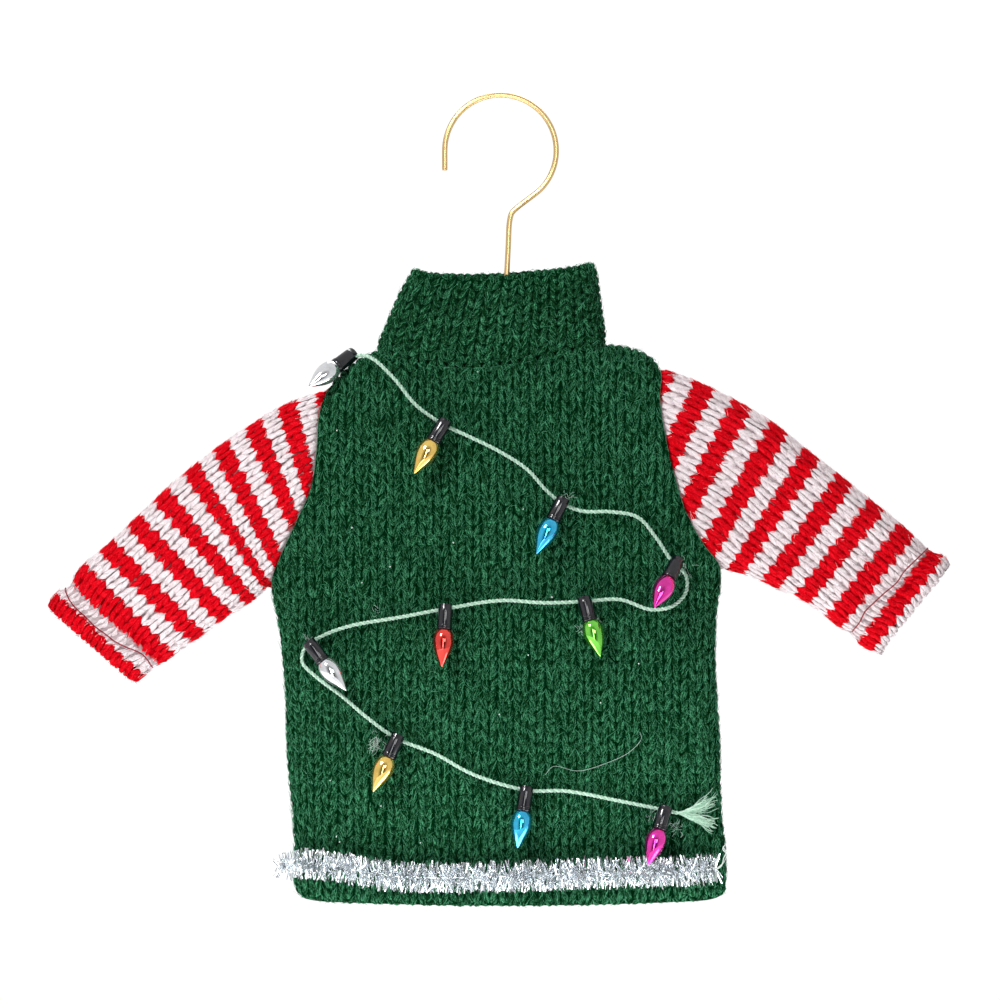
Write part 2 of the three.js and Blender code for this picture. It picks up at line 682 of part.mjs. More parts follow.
addPiece('front', bodyPanel(-1), FINISH.greenKnit);
addPiece('back', bodyPanel(1), FINISH.greenKnit);
sleeve('sleeve_left', sleeveRow.left, 'to', 1);
sleeve('sleeve_right', sleeveRow.right, 'from', -1);
collar();
hanger();
lights();
tinsel();

export default object;
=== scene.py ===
"""The looks of a miniature machine-knit christmas sweater on its wire hanger.

The cloth has the form of its solids: a flat garment whose cloth turns round its folded outline.
Thin shells carry every knit stitch as two legs of yarn, a twisted cord with ten small lamps is
looped over the front, and a strand of foil tinsel lies along the hem. Sizes are in millimetres
in the tables and in metres in the meshes, +Z up, front towards -Y, with the origin inside the
top of the wire hook.
"""

import logging
import math
from dataclasses import dataclass, field
from enum import Enum
from typing import Callable, Sequence

import bpy
import numpy as np
from mathutils import Matrix, Vector

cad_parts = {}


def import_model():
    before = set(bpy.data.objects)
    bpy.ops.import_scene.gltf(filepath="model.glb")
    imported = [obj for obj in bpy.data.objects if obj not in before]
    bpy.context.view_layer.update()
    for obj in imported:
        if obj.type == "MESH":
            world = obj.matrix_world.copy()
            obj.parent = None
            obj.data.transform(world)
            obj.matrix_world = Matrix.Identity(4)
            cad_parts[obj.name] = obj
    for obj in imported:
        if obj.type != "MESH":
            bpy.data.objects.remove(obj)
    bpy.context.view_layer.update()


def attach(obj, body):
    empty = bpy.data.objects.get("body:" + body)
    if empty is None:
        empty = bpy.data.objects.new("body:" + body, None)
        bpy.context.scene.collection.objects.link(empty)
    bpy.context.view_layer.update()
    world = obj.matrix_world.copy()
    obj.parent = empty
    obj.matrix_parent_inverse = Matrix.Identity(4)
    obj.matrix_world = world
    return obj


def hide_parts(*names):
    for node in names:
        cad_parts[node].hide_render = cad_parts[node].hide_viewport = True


LOG = logging.getLogger("sweater")
MM = 0.001
BODY = "root"
SEAM_GAP = 0.3
ARMHOLE_GAP = 0.45
NECK_SKEW = 0.7
BACK_BOW = 0.35
UNDERARM_ROW = 10
SHOULDER_ROW = 16
SHELL_SINK = 0.6  # of the shell's face under the faces of the stitches
SHELL_WALL = 1.0

# leftX, leftZ, rightX, rightZ, bow, half depth, wall: hem, underarm, shoulder, neckline
BODY_ROWS = (
    (-42.8, -177.3, 47.3, -177.1, -1.2, 4.8, 2.2),
    (-45.0, -175.4, 49.5, -175.6, -0.9, 5.0, 2.3),
    (-45.8, -171.9, 50.0, -172.4, -0.4, 5.0, 2.3),
    (-45.6, -165.8, 49.8, -165.3, 0, 5.0, 2.0),
    (-46.0, -158.1, 49.0, -158.1, 0, 5.0, 2.0),
    (-46.8, -150.8, 48.7, -150.5, 0, 5.0, 2.0),
    (-47.4, -142.7, 48.6, -142.0, 0, 5.0, 2.0),
    (-47.6, -132.8, 47.9, -132.0, 0, 5.0, 2.0),
    (-48.4, -122.9, 47.5, -122.0, 0, 5.0, 2.0),
    (-49.4, -114.7, 47.9, -113.0, 0, 5.0, 2.0),
    (-50.6, -107.7, 48.7, -104.4, 0, 5.0, 2.0),
    (-48.3, -100.9, 44.3, -98.0, 0, 5.0, 2.0),
    (-44.8, -93.2, 40.6, -90.8, 0, 5.0, 2.0),
    (-41.7, -86.1, 38.2, -83.0, 0, 5.0, 2.0),
    (-40.5, -77.8, 36.3, -74.7, 0, 5.0, 2.0),
    (-40.0, -70.7, 35.1, -66.8, -0.8, 5.0, 2.0),
    (-38.4, -64.3, 35.3, -59.5, -1.8, 4.9, 2.0),
    (-34.2, -59.7, 32.5, -56.6, -3.4, 4.8, 2.0),
    (-29.9, -56.7, 28.8, -55.1, -4.3, 4.7, 2.0),
    (-26.9, -55.5, 22.7, -54.2, -4.6, 4.6, 2.0),
)
# topX, topZ, bottomX, bottomZ, bow, half depth, wall: armhole to cuff
RIGHT_SLEEVE_ROWS = (
    (-38.7, -64.4, -50.9, -107.7, 0, 4.6, 1.9),
    (-47.5, -67.6, -54.5, -111.0, 2.4, 4.6, 1.8),
    (-56.0, -72.6, -58.2, -113.5, 1.8, 4.6, 1.8),
    (-64.5, -78.5, -62.0, -116.4, 1.2, 4.5, 1.8),
    (-72.5, -85.0, -66.0, -119.0, 0.7, 4.4, 1.8),
    (-80.0, -92.1, -69.8, -121.4, 0.3, 4.4, 1.8),
    (-87.5, -99.1, -73.2, -124.1, 0, 4.3, 1.8),
    (-92.8, -103.6, -75.6, -125.9, 0, 4.3, 1.9),
    (-95.8, -107.7, -77.3, -127.0, 0, 4.1, 1.8),
    (-98.3, -109.3, -79.0, -128.6, 0, 4.8, 2.3),
    (-99.9, -111.8, -80.2, -129.2, 0, 4.6, 2.2),
)
LEFT_SLEEVE_ROWS = (
    (35.6, -59.6, 49.0, -104.4, 0, 4.6, 1.9),
    (43.5, -62.5, 52.6, -105.0, -2.2, 4.6, 1.8),
    (51.8, -66.6, 56.2, -106.4, -1.7, 4.6, 1.8),
    (60.0, -71.4, 60.0, -108.0, -1.2, 4.5, 1.8),
    (67.5, -77.4, 63.8, -109.8, -0.7, 4.4, 1.8),
    (75.0, -83.2, 67.4, -111.6, -0.3, 4.4, 1.8),
    (82.2, -89.0, 70.9, -113.9, 0, 4.3, 1.8),
    (89.0, -94.5, 74.0, -116.6, 0, 4.3, 1.9),
    (94.1, -99.0, 76.6, -118.2, 0, 4.1, 1.8),
    (97.4, -100.6, 78.6, -120.6, 0, 4.8, 2.3),
    (99.5, -102.9, 81.2, -122.3, 0, 4.6, 2.2),
)
# leftX, leftZ, rightX, rightZ, bow, half depth, wall: neckline seam to top fold
COLLAR_ROWS = (
    (-27.4, -55.1, 23.3, -53.8, -4.6, 4.8, 2.4),
    (-27.0, -53.4, 23.4, -52.2, -4.1, 5.5, 2.7),
    (-25.9, -50.9, 23.0, -49.2, -3.5, 5.9, 2.8),
    (-23.9, -46.1, 22.4, -44.8, -2.8, 5.9, 2.8),
    (-22.1, -42.1, 21.9, -40.8, -2.4, 5.7, 2.8),
    (-20.2, -39.0, 21.2, -37.6, -2.2, 5.5, 2.8),
)
# side (-1 front, 1 back), x, z, half length, half width, depth, tilt in degrees
FOLDS = (
    (-1, -22, -98, 26, 7, 0.8, -4),
    (-1, 33, -103, 15, 8, 0.8, 24),
    (-1, 3, -133, 18, 9, 0.5, 8),
    (-1, -6, -66, 27, 6, -0.4, 0),
    (-1, -31, -158, 15, 12, -0.4, 60),
    (-1, 34, -140, 12, 14, -0.4, 0),
    (-1, -57, -98, 16, 4, 0.45, 52),
    (-1, 56, -92, 17, 4, 0.45, -50),
    (-1, -80, -108, 12, 4, 0.3, 40),
    (-1, 78, -101, 12, 4, 0.3, -36),
    (1, 16, -96, 28, 7, 0.8, 5),
    (1, -30, -112, 16, 8, 0.7, -20),
    (1, -4, -140, 20, 9, 0.5, -6),
    (1, 30, -160, 14, 12, -0.4, -50),
    (1, -56, -96, 16, 4, 0.45, 46),
    (1, 58, -90, 17, 4, 0.45, -44),
)
# The middle of each red stripe: its end on the top fold and on the bottom one, or where it
# would meet that one beyond the armhole
RIGHT_STRIPES = (
    (-39.3, -64.1, -33.6, -96.9),
    (-47.9, -67.9, -38.4, -100.2),
    (-55.1, -72.9, -41.7, -102.6),
    (-62.4, -77.8, -47.6, -106.6),
    (-68.8, -82.6, -51.2, -109.0),
    (-75.6, -88.1, -55.1, -110.9),
    (-81.5, -93.6, -60.6, -114.4),
    (-87.5, -99.3, -66.8, -119.0),
    (-93.6, -104.8, -73.8, -124.0),
    (-99.8, -110.6, -79.9, -128.6),
)
LEFT_STRIPES = (
    (36.9, -60.2, 21.9, -92.1),
    (45.7, -64.1, 29.8, -95.8),
    (53.8, -68.5, 37.3, -99.1),
    (62.2, -73.4, 45.0, -102.6),
    (69.2, -78.9, 52.0, -105.1),
    (76.5, -84.8, 60.0, -108.4),
    (83.5, -90.1, 66.6, -111.9),
    (90.1, -95.4, 73.8, -116.1),
    (96.7, -100.4, 80.4, -121.3),
)
# topX, topZ, tipX, tipZ, lean in degrees, lacquer, how far back it lies
LAMPS = (
    (-32.3, -56.4, -41.8, -63.6, 26, "silver", 1.6),
    (-12.0, -71.2, -18.6, -82.4, 8, "gold", 0),
    (13.9, -88.3, 8.0, -100.4, 8, "blue", 0),
    (39.0, -101.8, 33.8, -112.0, 31, "magenta", 0),
    (-12.0, -111.7, -12.9, -125.5, 7, "red", 0),
    (18.2, -110.0, 21.9, -123.2, 7, "green", 0),
    (-42.3, -119.8, -34.1, -130.4, 7, "silver", 0),
    (-22.4, -140.3, -27.8, -152.5, 7, "gold", 0),
    (5.8, -151.7, 3.7, -165.5, 7, "blue", 0),
    (36.4, -156.1, 32.2, -169.6, 14, "magenta", 0),
)
# x, z, lift off the cloth
CORD_ROUTE = (
    (-32.2, -57.1, 0.6), (-30.4, -56.9, 1.4), (-27.8, -57.9, 1.2), (-23.4, -62.1, 0.1),
    (-18.6, -67.9, 0), (-12.5, -72.2, 0), (-7.2, -74.7, 0), (-0.1, -78.2, 0),
    (6.0, -82.2, 0), (10.0, -86.6, 0), (13.4, -89.4, 0), (17.9, -91.2, 0),
    (24.5, -91.4, 0), (30.2, -92.6, 0), (34.3, -97.2, 0), (37.8, -102.4, 0),
    (40.7, -105.2, 0), (40.8, -109.0, 0), (37.9, -112.1, 0), (33.1, -112.9, 0),
    (26.3, -110.7, 0), (18.6, -111.1, 0), (9.8, -111.4, 0), (-0.1, -110.9, 0),
    (-12.0, -112.7, 0), (-21.7, -114.5, 0), (-33.1, -116.5, 0), (-39.0, -118.6, 0),
    (-42.9, -121.2, 0), (-43.6, -124.4, 0), (-40.4, -127.8, 0), (-34.9, -131.9, 0),
    (-29.4, -136.6, 0), (-22.9, -141.2, 0), (-14.4, -144.6, 0), (-6.1, -149.1, 0),
    (5.7, -152.6, 0), (14.4, -152.8, 0), (26.3, -155.0, 0), (36.1, -157.0, 0),
    (42.2, -158.4, 0),
)
TINSEL_ROUTE = (
    (-49.0, -169.5), (-44.1, -168.8), (-34.2, -169.8), (-22.1, -171.6),
    (0.0, -171.5), (22.0, -170.8), (40.0, -170.4), (47.6, -169.9),
)
SHOULDER_WIRE = (
    (-37.4, -68.9), (-35.9, -66.0), (-32.2, -61.8), (-24.6, -57.9), (-12.0, -54.6),
    (0.9, -51.6), (12.0, -54.4), (22.2, -57.0), (29.6, -58.9), (33.6, -62.0),
)
HOOK_STEM = (
    (6.4, -22.2), (3.9, -24.1), (2.5, -25.5), (2.0, -27.4), (1.7, -33.0), (1.2, -43.0),
    (0.9, -51.6),
)


class Side(Enum):
    """Which way a panel faces."""

    FRONT = -1
    BACK = 1


class Dye(Enum):
    """The yarn colours of a piece."""

    GREEN = "green"
    STRIPED = "striped"


def mix(a: float, b: float, t: float) -> float:
    """The value a share t of the way from a to b."""
    return a + (b - a) * t


# Shader nodes


class Shade:
    """A shader socket that Python's arithmetic builds Math nodes on."""

    def __init__(self, nodes: "Nodes", socket: bpy.types.NodeSocket) -> None:
        """Wraps a socket of a material that is being made."""
        self.nodes = nodes
        self.socket = socket

    def _math(self, operation: str, *values: "Shade | float") -> "Shade":
        """Adds a Math node and returns its result."""
        return self.nodes.add(
            "ShaderNodeMath", {"operation": operation}, dict(enumerate(values))
        )

    def __add__(self, other: "Shade | float") -> "Shade":
        """self + other."""
        return self._math("ADD", self, other)

    __radd__ = __add__

    def __sub__(self, other: "Shade | float") -> "Shade":
        """self - other."""
        return self._math("SUBTRACT", self, other)

    def __rsub__(self, other: "Shade | float") -> "Shade":
        """other - self."""
        return self._math("SUBTRACT", other, self)

    def __mul__(self, other: "Shade | float") -> "Shade":
        """self * other."""
        return self._math("MULTIPLY", self, other)

    __rmul__ = __mul__

    def power(self, exponent: float) -> "Shade":
        """self raised to a power."""
        return self._math("POWER", self, exponent)

    def sine(self) -> "Shade":
        """The sine of self in radians."""
        return self._math("SINE", self)

    def within(self, low: float, high: float) -> "Shade":
        """How far self lies from low to high, held between 0 and 1."""
        return self.nodes.add(
            "ShaderNodeMapRange",
            {"clamp": True},
            {"Value": self, "From Min": low, "From Max": high},
        )


class Nodes:
    """The nodes of one material."""

    def __init__(self, name: str) -> None:
        """Starts a material of that name with only its output."""
        self.material = bpy.data.materials.new(name)
        self.material.use_nodes = True
        self.tree = self.material.node_tree
        self.tree.nodes.clear()
        self.output = self.tree.nodes.new("ShaderNodeOutputMaterial")

    def add(
        self, kind: str, settings: dict | None = None, inputs: dict | None = None,
        result: str | int = 0,
    ) -> Shade:
        """Adds a node.

        Args:
            kind: the node's type.
            settings: its settings, with a ramp's stops under "stops".
            inputs: a value or a Shade for each named or numbered socket.
            result: the socket that is returned.

        Returns:
            The wanted output.
        """
        node = self.tree.nodes.new(kind)
        for key, value in (settings or {}).items():
            if key == "stops":
                ramp = node.color_ramp
                while len(ramp.elements) < len(value):
                    ramp.elements.new(0.5)
                for element, (place, colour) in zip(ramp.elements, value):
                    element.position = place
                    element.color = (*colour, 1.0)
            else:
                setattr(node, key, value)
        for key, value in (inputs or {}).items():
            if isinstance(value, Shade):
                self.tree.links.new(value.socket, node.inputs[key])
            elif isinstance(value, tuple) and len(value) == 3 and node.inputs[key].type == "RGBA":
                node.inputs[key].default_value = (*value, 1.0)
            else:
                node.inputs[key].default_value = value
        return Shade(self, node.outputs[result])

    def attribute(self, name: str, result: str = "Fac") -> Shade:
        """A value that the mesh carries."""
        return self.add("ShaderNodeAttribute", {"attribute_name": name}, result=result)

    def place(self, scale: tuple[float, float, float] = (1, 1, 1), uv: bool = False) -> Shade:
        """The surface's own coordinates, scaled: Object ones or the UV map."""
        source = (
            self.add("ShaderNodeUVMap", {"uv_map": "UVMap"})
            if uv
            else self.add("ShaderNodeTexCoord", result="Object")
        )
        return self.add("ShaderNodeMapping", None, {"Vector": source, "Scale": scale})

    def noise(self, place: Shade, scale: float, detail: float = 2.0) -> Shade:
        """Soft noise over coordinates."""
        return self.add(
            "ShaderNodeTexNoise",
            {"noise_dimensions": "3D"},
            {"Vector": place, "Scale": scale, "Detail": detail},
        )

    def blend(self, share: Shade | float, first: object, second: object) -> Shade:
        """A colour mixed from two by a share."""
        return self.add(
            "ShaderNodeMix",
            {"data_type": "RGBA"},
            {0: share, 6: first, 7: second},
            result=2,
        )

    def bump(self, height: Shade, strength: float, distance: float) -> Shade:
        """A normal from a height."""
        return self.add(
            "ShaderNodeBump",
            None,
            {"Height": height, "Strength": strength, "Distance": distance},
        )

    def finish(self, inputs: dict) -> bpy.types.Material:
        """Ends the material with a Principled shader that has these inputs."""
        shader = self.add("ShaderNodeBsdfPrincipled", None, inputs)
        self.tree.links.new(shader.socket, self.output.inputs["Surface"])
        return self.material


@dataclass(frozen=True)
class YarnFinish:
    """Fuzzy acrylic yarn whose fibres run along each leg of a stitch."""

    name: str
    shade: tuple[float, float, float]
    light: tuple[float, float, float]
    # deep and deep_2 are painted shade for the low parts of the legs in the gaps between stitches
    deep: tuple[float, float, float]
    shade_2: tuple[float, float, float] | None = None
    light_2: tuple[float, float, float] | None = None
    deep_2: tuple[float, float, float] | None = None
    contrast: float = 1.8

    def dress(self) -> bpy.types.Material:
        """Builds the material, which reads the tone, rise and stripe that the mesh carries; a low
        rise gets painted shade.
        """
        n = Nodes(self.name)
        along = n.place((1.5, 0.28, 1.0), uv=True)
        fibre = n.noise(along, 4.0, 3.0).within(0.38, 0.62)
        strand = n.noise(n.place((3.4, 0.5, 1.0), uv=True), 4.0, 1.0).within(0.5, 0.66)
        mottle = n.noise(n.place((3100, 3100, 3100)), 1.0, 2.0).within(0.38, 0.62)
        # the rise sets how much painted gap shade each point gets
        rise = n.attribute("rise").within(0.0, 0.6)
        bright = (fibre * 0.36 + n.attribute("tone") * 0.12 + strand * 0.30
                  + mottle * 0.42).within(0.2, 0.96).power(self.contrast)

        def gap_shaded(
            deep: tuple[float, float, float],
            shade: tuple[float, float, float],
            light: tuple[float, float, float],
        ) -> Shade:
            """Painted shade, the deep colour, low in the gaps by the rise, then from the shade to
            the light tone by the fibres.
            """
            lit = n.blend(bright, shade, light)
            return n.blend(rise, deep, lit)

        colour = gap_shaded(self.deep, self.shade, self.light)
        if self.shade_2 and self.light_2 and self.deep_2:
            other = gap_shaded(self.deep_2, self.shade_2, self.light_2)
            colour = n.blend(n.attribute("stripe"), colour, other)
        ply = (n.add("ShaderNodeSeparateXYZ", None, {0: n.place((1, 1, 1), uv=True)}, "X")
               * 18.0 + n.add("ShaderNodeSeparateXYZ", None,
                              {0: n.place((1, 1, 1), uv=True)}, "Y") * 9.0).sine()
        height = ply * 0.25 + fibre * 0.7 + strand * 0.5 + mottle * 0.8
        return n.finish({
            "Base Color": colour,
            "Roughness": 0.9,
            "Specular IOR Level": 0.03,
            "Sheen Weight": 0.05,
            "Sheen Roughness": 0.4,
            "Sheen Tint": self.light,
            "Normal": n.bump(height, 0.8, 0.2 * MM),
        })


@dataclass(frozen=True)
class GapShadeBackingFinish:
    """The ground between stitches, painted dark as shade in the gaps, and the plain inner face of
    the cloth.
    """

    name: str
    # outer and outer_2 are painted shade seen in the gaps between stitches
    outer: tuple[float, float, float]
    inner: tuple[float, float, float]
    outer_2: tuple[float, float, float] | None = None
    inner_2: tuple[float, float, float] | None = None

    def dress(self) -> bpy.types.Material:
        """Builds the material; the mesh says which face is the inner one and its stripes."""
        n = Nodes(self.name)
        grain = n.noise(n.place((900, 900, 2200)), 1.0, 2.0).within(0.3, 0.7)
        inside = n.attribute("inside")
        colour = n.blend(inside, self.outer, self.inner)
        if self.outer_2 and self.inner_2:
            other = n.blend(inside, self.outer_2, self.inner_2)
            colour = n.blend(n.attribute("stripe"), colour, other)
        colour = n.blend(grain * 0.45, colour, (0.0, 0.0, 0.0))
        return n.finish({
            "Base Color": colour,
            "Roughness": 0.95,
            "Specular IOR Level": 0.0,
            "Normal": n.bump(grain, 0.8, 0.4 * MM),
        })


@dataclass(frozen=True)
class ThreadFinish:
    """A smooth spun thread or cord with a little mottling along it."""

    name: str
    shade: tuple[float, float, float]
    light: tuple[float, float, float]
    roughness: float = 0.6

    def dress(self) -> bpy.types.Material:
        """Builds the material."""
        n = Nodes(self.name)
        fibre = n.noise(n.place((2600, 2600, 2600)), 1.0, 3.0).within(0.3, 0.7)
        tone = (fibre * 0.4 + n.attribute("tone") * 0.6).within(0.0, 1.0)
        return n.finish({
            "Base Color": n.blend(tone, self.shade, self.light),
            "Roughness": self.roughness,
            "Specular IOR Level": 0.03,
            "Normal": n.bump(fibre, 0.4, 0.08 * MM),
        })


@dataclass(frozen=True)
class PlasticFinish:
    """Glossy moulded plastic with fine rubbed marks."""

    name: str
    shade: tuple[float, float, float]
    light: tuple[float, float, float]

    def dress(self) -> bpy.types.Material:
        """Builds the material."""
        n = Nodes(self.name)
        rub = n.noise(n.place((500, 500, 500)), 1.0, 3.0).within(0.5, 0.8)
        fine = n.noise(n.place((3500, 3500, 3500)), 1.0, 2.0)
        return n.finish({
            "Base Color": n.blend(rub, self.shade, self.light),
            "Roughness": rub * 0.08 + 0.14,
            "IOR": 1.5,
            "Coat Weight": 0.3,
            "Coat Roughness": 0.1,
            "Normal": n.bump(fine, 0.03, 0.03 * MM),
        })


@dataclass(frozen=True)
class LacquerFinish:
    """Tinted lacquer over a mirror-bright coat, as on metallised toy bulbs."""

    name: str
    shade: tuple[float, float, float]
    deep: tuple[float, float, float]

    def dress(self) -> bpy.types.Material:
        """Builds the material; the lacquer pools darker where it runs."""
        n = Nodes(self.name)
        pool = n.noise(n.place((420, 420, 420)), 1.0, 2.0).within(0.35, 0.7)
        fine = n.noise(n.place((2400, 2400, 2400)), 1.0, 2.0)
        return n.finish({
            "Base Color": n.blend(pool * 0.5, self.shade, self.deep),
            "Metallic": 0.92,
            "Roughness": fine * 0.04 + 0.05,
            "Coat Weight": 1.0,
            "Coat Roughness": 0.03,
            "Normal": n.bump(pool, 0.12, 0.1 * MM),
        })


@dataclass(frozen=True)
class MetalFinish:
    """Drawn wire or thin foil."""

    name: str
    shade: tuple[float, float, float]
    light: tuple[float, float, float]
    roughness: float = 0.25
    grain: float = 1500.0

    def dress(self) -> bpy.types.Material:
        """Builds the material."""
        n = Nodes(self.name)
        streak = n.noise(n.place((self.grain,) * 3), 1.0, 3.0).within(0.3, 0.7)
        return n.finish({
            "Base Color": n.blend(streak, self.shade, self.light),
            "Metallic": 1.0,
            "Roughness": streak * 0.12 + self.roughness,
            "Normal": n.bump(streak, 0.1, 0.03 * MM),
        })


@dataclass(frozen=True)
class StudioFinish:
    """The pale floor."""

    name: str
    shade: tuple[float, float, float]

    def dress(self) -> bpy.types.Material:
        """Builds the material."""
        n = Nodes(self.name)
        return n.finish({"Base Color": self.shade, "Roughness": 0.9})


# Meshes from arrays


def mesh_object(
    name: str,
    points: np.ndarray,
    faces: np.ndarray | Sequence[Sequence[int]],
    material: bpy.types.Material,
    values: dict[str, np.ndarray] | None = None,
    uv: np.ndarray | None = None,
    smooth: bool = True,
) -> bpy.types.Object:
    """One mesh object at the origin.

    Args:
        name: its name.
        points: its points in millimetres.
        faces: its faces, as rows of equal length or as lists.
        material: its finish.
        values: a value at each point for each named attribute.
        uv: a UV place for each corner of each face.
        smooth: whether its faces are shaded smooth.

    Returns:
        The object, linked to the scene.
    """
    mesh = bpy.data.meshes.new(name)
    if isinstance(faces, np.ndarray):
        sizes = np.full(len(faces), faces.shape[1])
        corners = faces.ravel()
    else:
        sizes = np.array([len(face) for face in faces])
        corners = np.concatenate([np.asarray(face) for face in faces])
    mesh.vertices.add(len(points))
    mesh.vertices.foreach_set("co", (points * MM).astype(np.float32).ravel())
    mesh.loops.add(len(corners))
    mesh.loops.foreach_set("vertex_index", corners.astype(np.int32))
    mesh.polygons.add(len(sizes))
    starts = np.concatenate([[0], np.cumsum(sizes)[:-1]])
    mesh.polygons.foreach_set("loop_start", starts.astype(np.int32))
    mesh.polygons.foreach_set("use_smooth", np.full(len(sizes), smooth))
    if uv is not None:
        layer = mesh.uv_layers.new(name="UVMap")
        layer.data.foreach_set("uv", uv.astype(np.float32).ravel())
    for key, value in (values or {}).items():
        attribute = mesh.attributes.new(key, "FLOAT", "POINT")
        attribute.data.foreach_set("value", value.astype(np.float32))
    mesh.update(calc_edges=True)
    mesh.validate()
    mesh.materials.append(material)
    piece = bpy.data.objects.new(name, mesh)
    bpy.context.scene.collection.objects.link(piece)
    return piece


def unit(vectors: np.ndarray) -> np.ndarray:
    """The vectors at length 1."""
    return vectors / np.maximum(np.linalg.norm(vectors, axis=-1, keepdims=True), 1e-9)


def smooth_line(points: Sequence[Sequence[float]], places: np.ndarray) -> np.ndarray:
    """Points of the centripetal curve through the given ones.

    Args:
        points: the points that it goes through.
        places: where along it, with point number k at k.

    Returns:
        One point for each place.
    """
    given = np.array(points, float)
    padded = np.vstack([2 * given[0] - given[1], given, 2 * given[-1] - given[-2]])
    below = np.clip(np.floor(places).astype(int), 0, len(given) - 2)
    t = (places - below)[:, None]
    p0, p1, p2, p3 = (padded[below + k] for k in range(4))
    d0, d1, d2 = (
        np.maximum(np.sum((b - a) ** 2, axis=1), 1e-9)[:, None] ** 0.25
        for a, b in ((p0, p1), (p1, p2), (p2, p3))
    )
    start = ((p1 - p0) / d0 - (p2 - p0) / (d0 + d1) + (p2 - p1) / d1) * d1
    end = ((p2 - p1) / d1 - (p3 - p1) / (d1 + d2) + (p3 - p2) / d2) * d1
    return (
        p1
        + start * t
        + (-3 * p1 + 3 * p2 - 2 * start - end) * t**2
        + (2 * p1 - 2 * p2 + start + end) * t**3
    )


def spaced_line(points: Sequence[Sequence[float]], count: int) -> np.ndarray:
    """The smooth line through points as evenly spaced ones."""
    fine = smooth_line(points, np.linspace(0, len(points) - 1, 40 * len(points)))
    run = np.concatenate([[0], np.cumsum(np.linalg.norm(np.diff(fine, axis=0), axis=1))])
    at = np.linspace(0, run[-1], count)
    return np.stack([np.interp(at, run, fine[:, k]) for k in range(fine.shape[1])], axis=1)


def frames_along(line: np.ndarray) -> tuple[np.ndarray, np.ndarray]:
    """Two directions square to a line at each of its points, without sudden turns."""
    tangent = unit(np.gradient(line, axis=0))
    side = np.zeros_like(line)
    current = np.cross(tangent[0], (0.0, -1.0, 0.0))
    if np.linalg.norm(current) < 1e-6:
        current = np.cross(tangent[0], (0.0, 0.0, 1.0))
    for i, along in enumerate(tangent):
        current = current - along * (current @ along)
        current = current / np.linalg.norm(current)
        side[i] = current
    return side, np.cross(tangent, side)


def tube_faces(rings: int, sides: int) -> np.ndarray:
    """The four-sided faces between rings of points."""
    i, k = np.meshgrid(np.arange(rings - 1), np.arange(sides), indexing="ij")
    after = (k + 1) % sides
    return np.stack(
        [i * sides + k, i * sides + after, (i + 1) * sides + after, (i + 1) * sides + k],
        axis=-1,
    ).reshape(-1, 4)


def tube(line: np.ndarray, radius: np.ndarray | float, sides: int) -> tuple[np.ndarray, list]:
    """A closed tube round a line.

    Args:
        line: the points of its middle.
        radius: its radius, the same all along or one for each point.
        sides: how many points each ring has.

    Returns:
        Its points and faces.
    """
    side, up = frames_along(line)
    turn = np.arange(sides) / sides * 2 * math.pi
    reach = np.broadcast_to(np.asarray(radius, float), (len(line),))[:, None, None]
    ring = np.cos(turn)[None, :, None] * side[:, None] + np.sin(turn)[None, :, None] * up[:, None]
    points = (line[:, None] + ring * reach).reshape(-1, 3)
    last = (len(line) - 1) * sides
    faces = [list(face) for face in tube_faces(len(line), sides)]
    faces.append(list(range(sides))[::-1])
    faces.append([last + k for k in range(sides)])
    return points, faces


class Bundle:
    """Many small meshes that become one piece."""

    def __init__(self) -> None:
        """Starts empty."""
        self.points: list[np.ndarray] = []
        self.faces: list[list[int]] = []
        self.values: list[np.ndarray] = []
        self.count = 0

    def put(self, points: np.ndarray, faces: Sequence[Sequence[int]], value: float = 0.0) -> None:
        """Adds a mesh, with one value for its tone."""
        self.points.append(points)
        self.faces.extend([[index + self.count for index in face] for face in faces])
        self.values.append(np.full(len(points), value))
        self.count += len(points)

    def piece(self, name: str, material: bpy.types.Material) -> bpy.types.Object:
        """The joined piece."""
        tone = np.concatenate(self.values)
        return mesh_object(
            name, np.vstack(self.points), self.faces, material,
            {"tone": tone, "rise": np.ones_like(tone)},
        )


def kept(piece: bpy.types.Object, slot: str, *nodes: str) -> bpy.types.Object:
    """Rides a piece on the body and hides the model's nodes that it stands for."""
    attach(piece, BODY)
    if nodes:
        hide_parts(*nodes)
    mesh = piece.data
    LOG.info("%s: %d triangles", piece.name, len(mesh.loops) - 2 * len(mesh.polygons))
    return piece


# The cloth's form


@dataclass
class Row:
    """Lines across a piece of cloth, one for each place that was asked for."""

    start: np.ndarray
    end: np.ndarray
    bow: np.ndarray
    depth: np.ndarray
    wall: np.ndarray
    skew: np.ndarray

    def flat(self, share: np.ndarray) -> np.ndarray:
        """The point of each line at a share of its length, in the flat of the garment."""
        run = self.end - self.start
        up = unit(np.stack([-run[:, 1], run[:, 0]], axis=1))
        bow = self.bow * 4 * share * (1 - share) * (1 + self.skew * (0.5 - share))
        return self.start + run * share[:, None] + up * bow[:, None]


@dataclass
class RowTable:
    """A table of rows as smooth curves."""

    rows: Sequence[Sequence[float]]
    skew: float = 0.0

    def __post_init__(self) -> None:
        """Splits the table into its two edges and its sizes."""
        self.values = np.array(self.rows, float)
        self.last = len(self.rows) - 1

    def edge(self, end: str, places: np.ndarray) -> np.ndarray:
        """Points on the "start" or "end" edge."""
        columns = slice(0, 2) if end == "start" else slice(2, 4)
        return smooth_line(self.values[:, columns], places)

    def at(self, places: np.ndarray) -> Row:
        """The lines at these places."""
        index = np.arange(self.last + 1)
        sizes = [np.interp(places, index, self.values[:, k]) for k in (4, 5, 6)]
        return Row(
            self.edge("start", places), self.edge("end", places), *sizes,
            np.full(len(places), self.skew),
        )


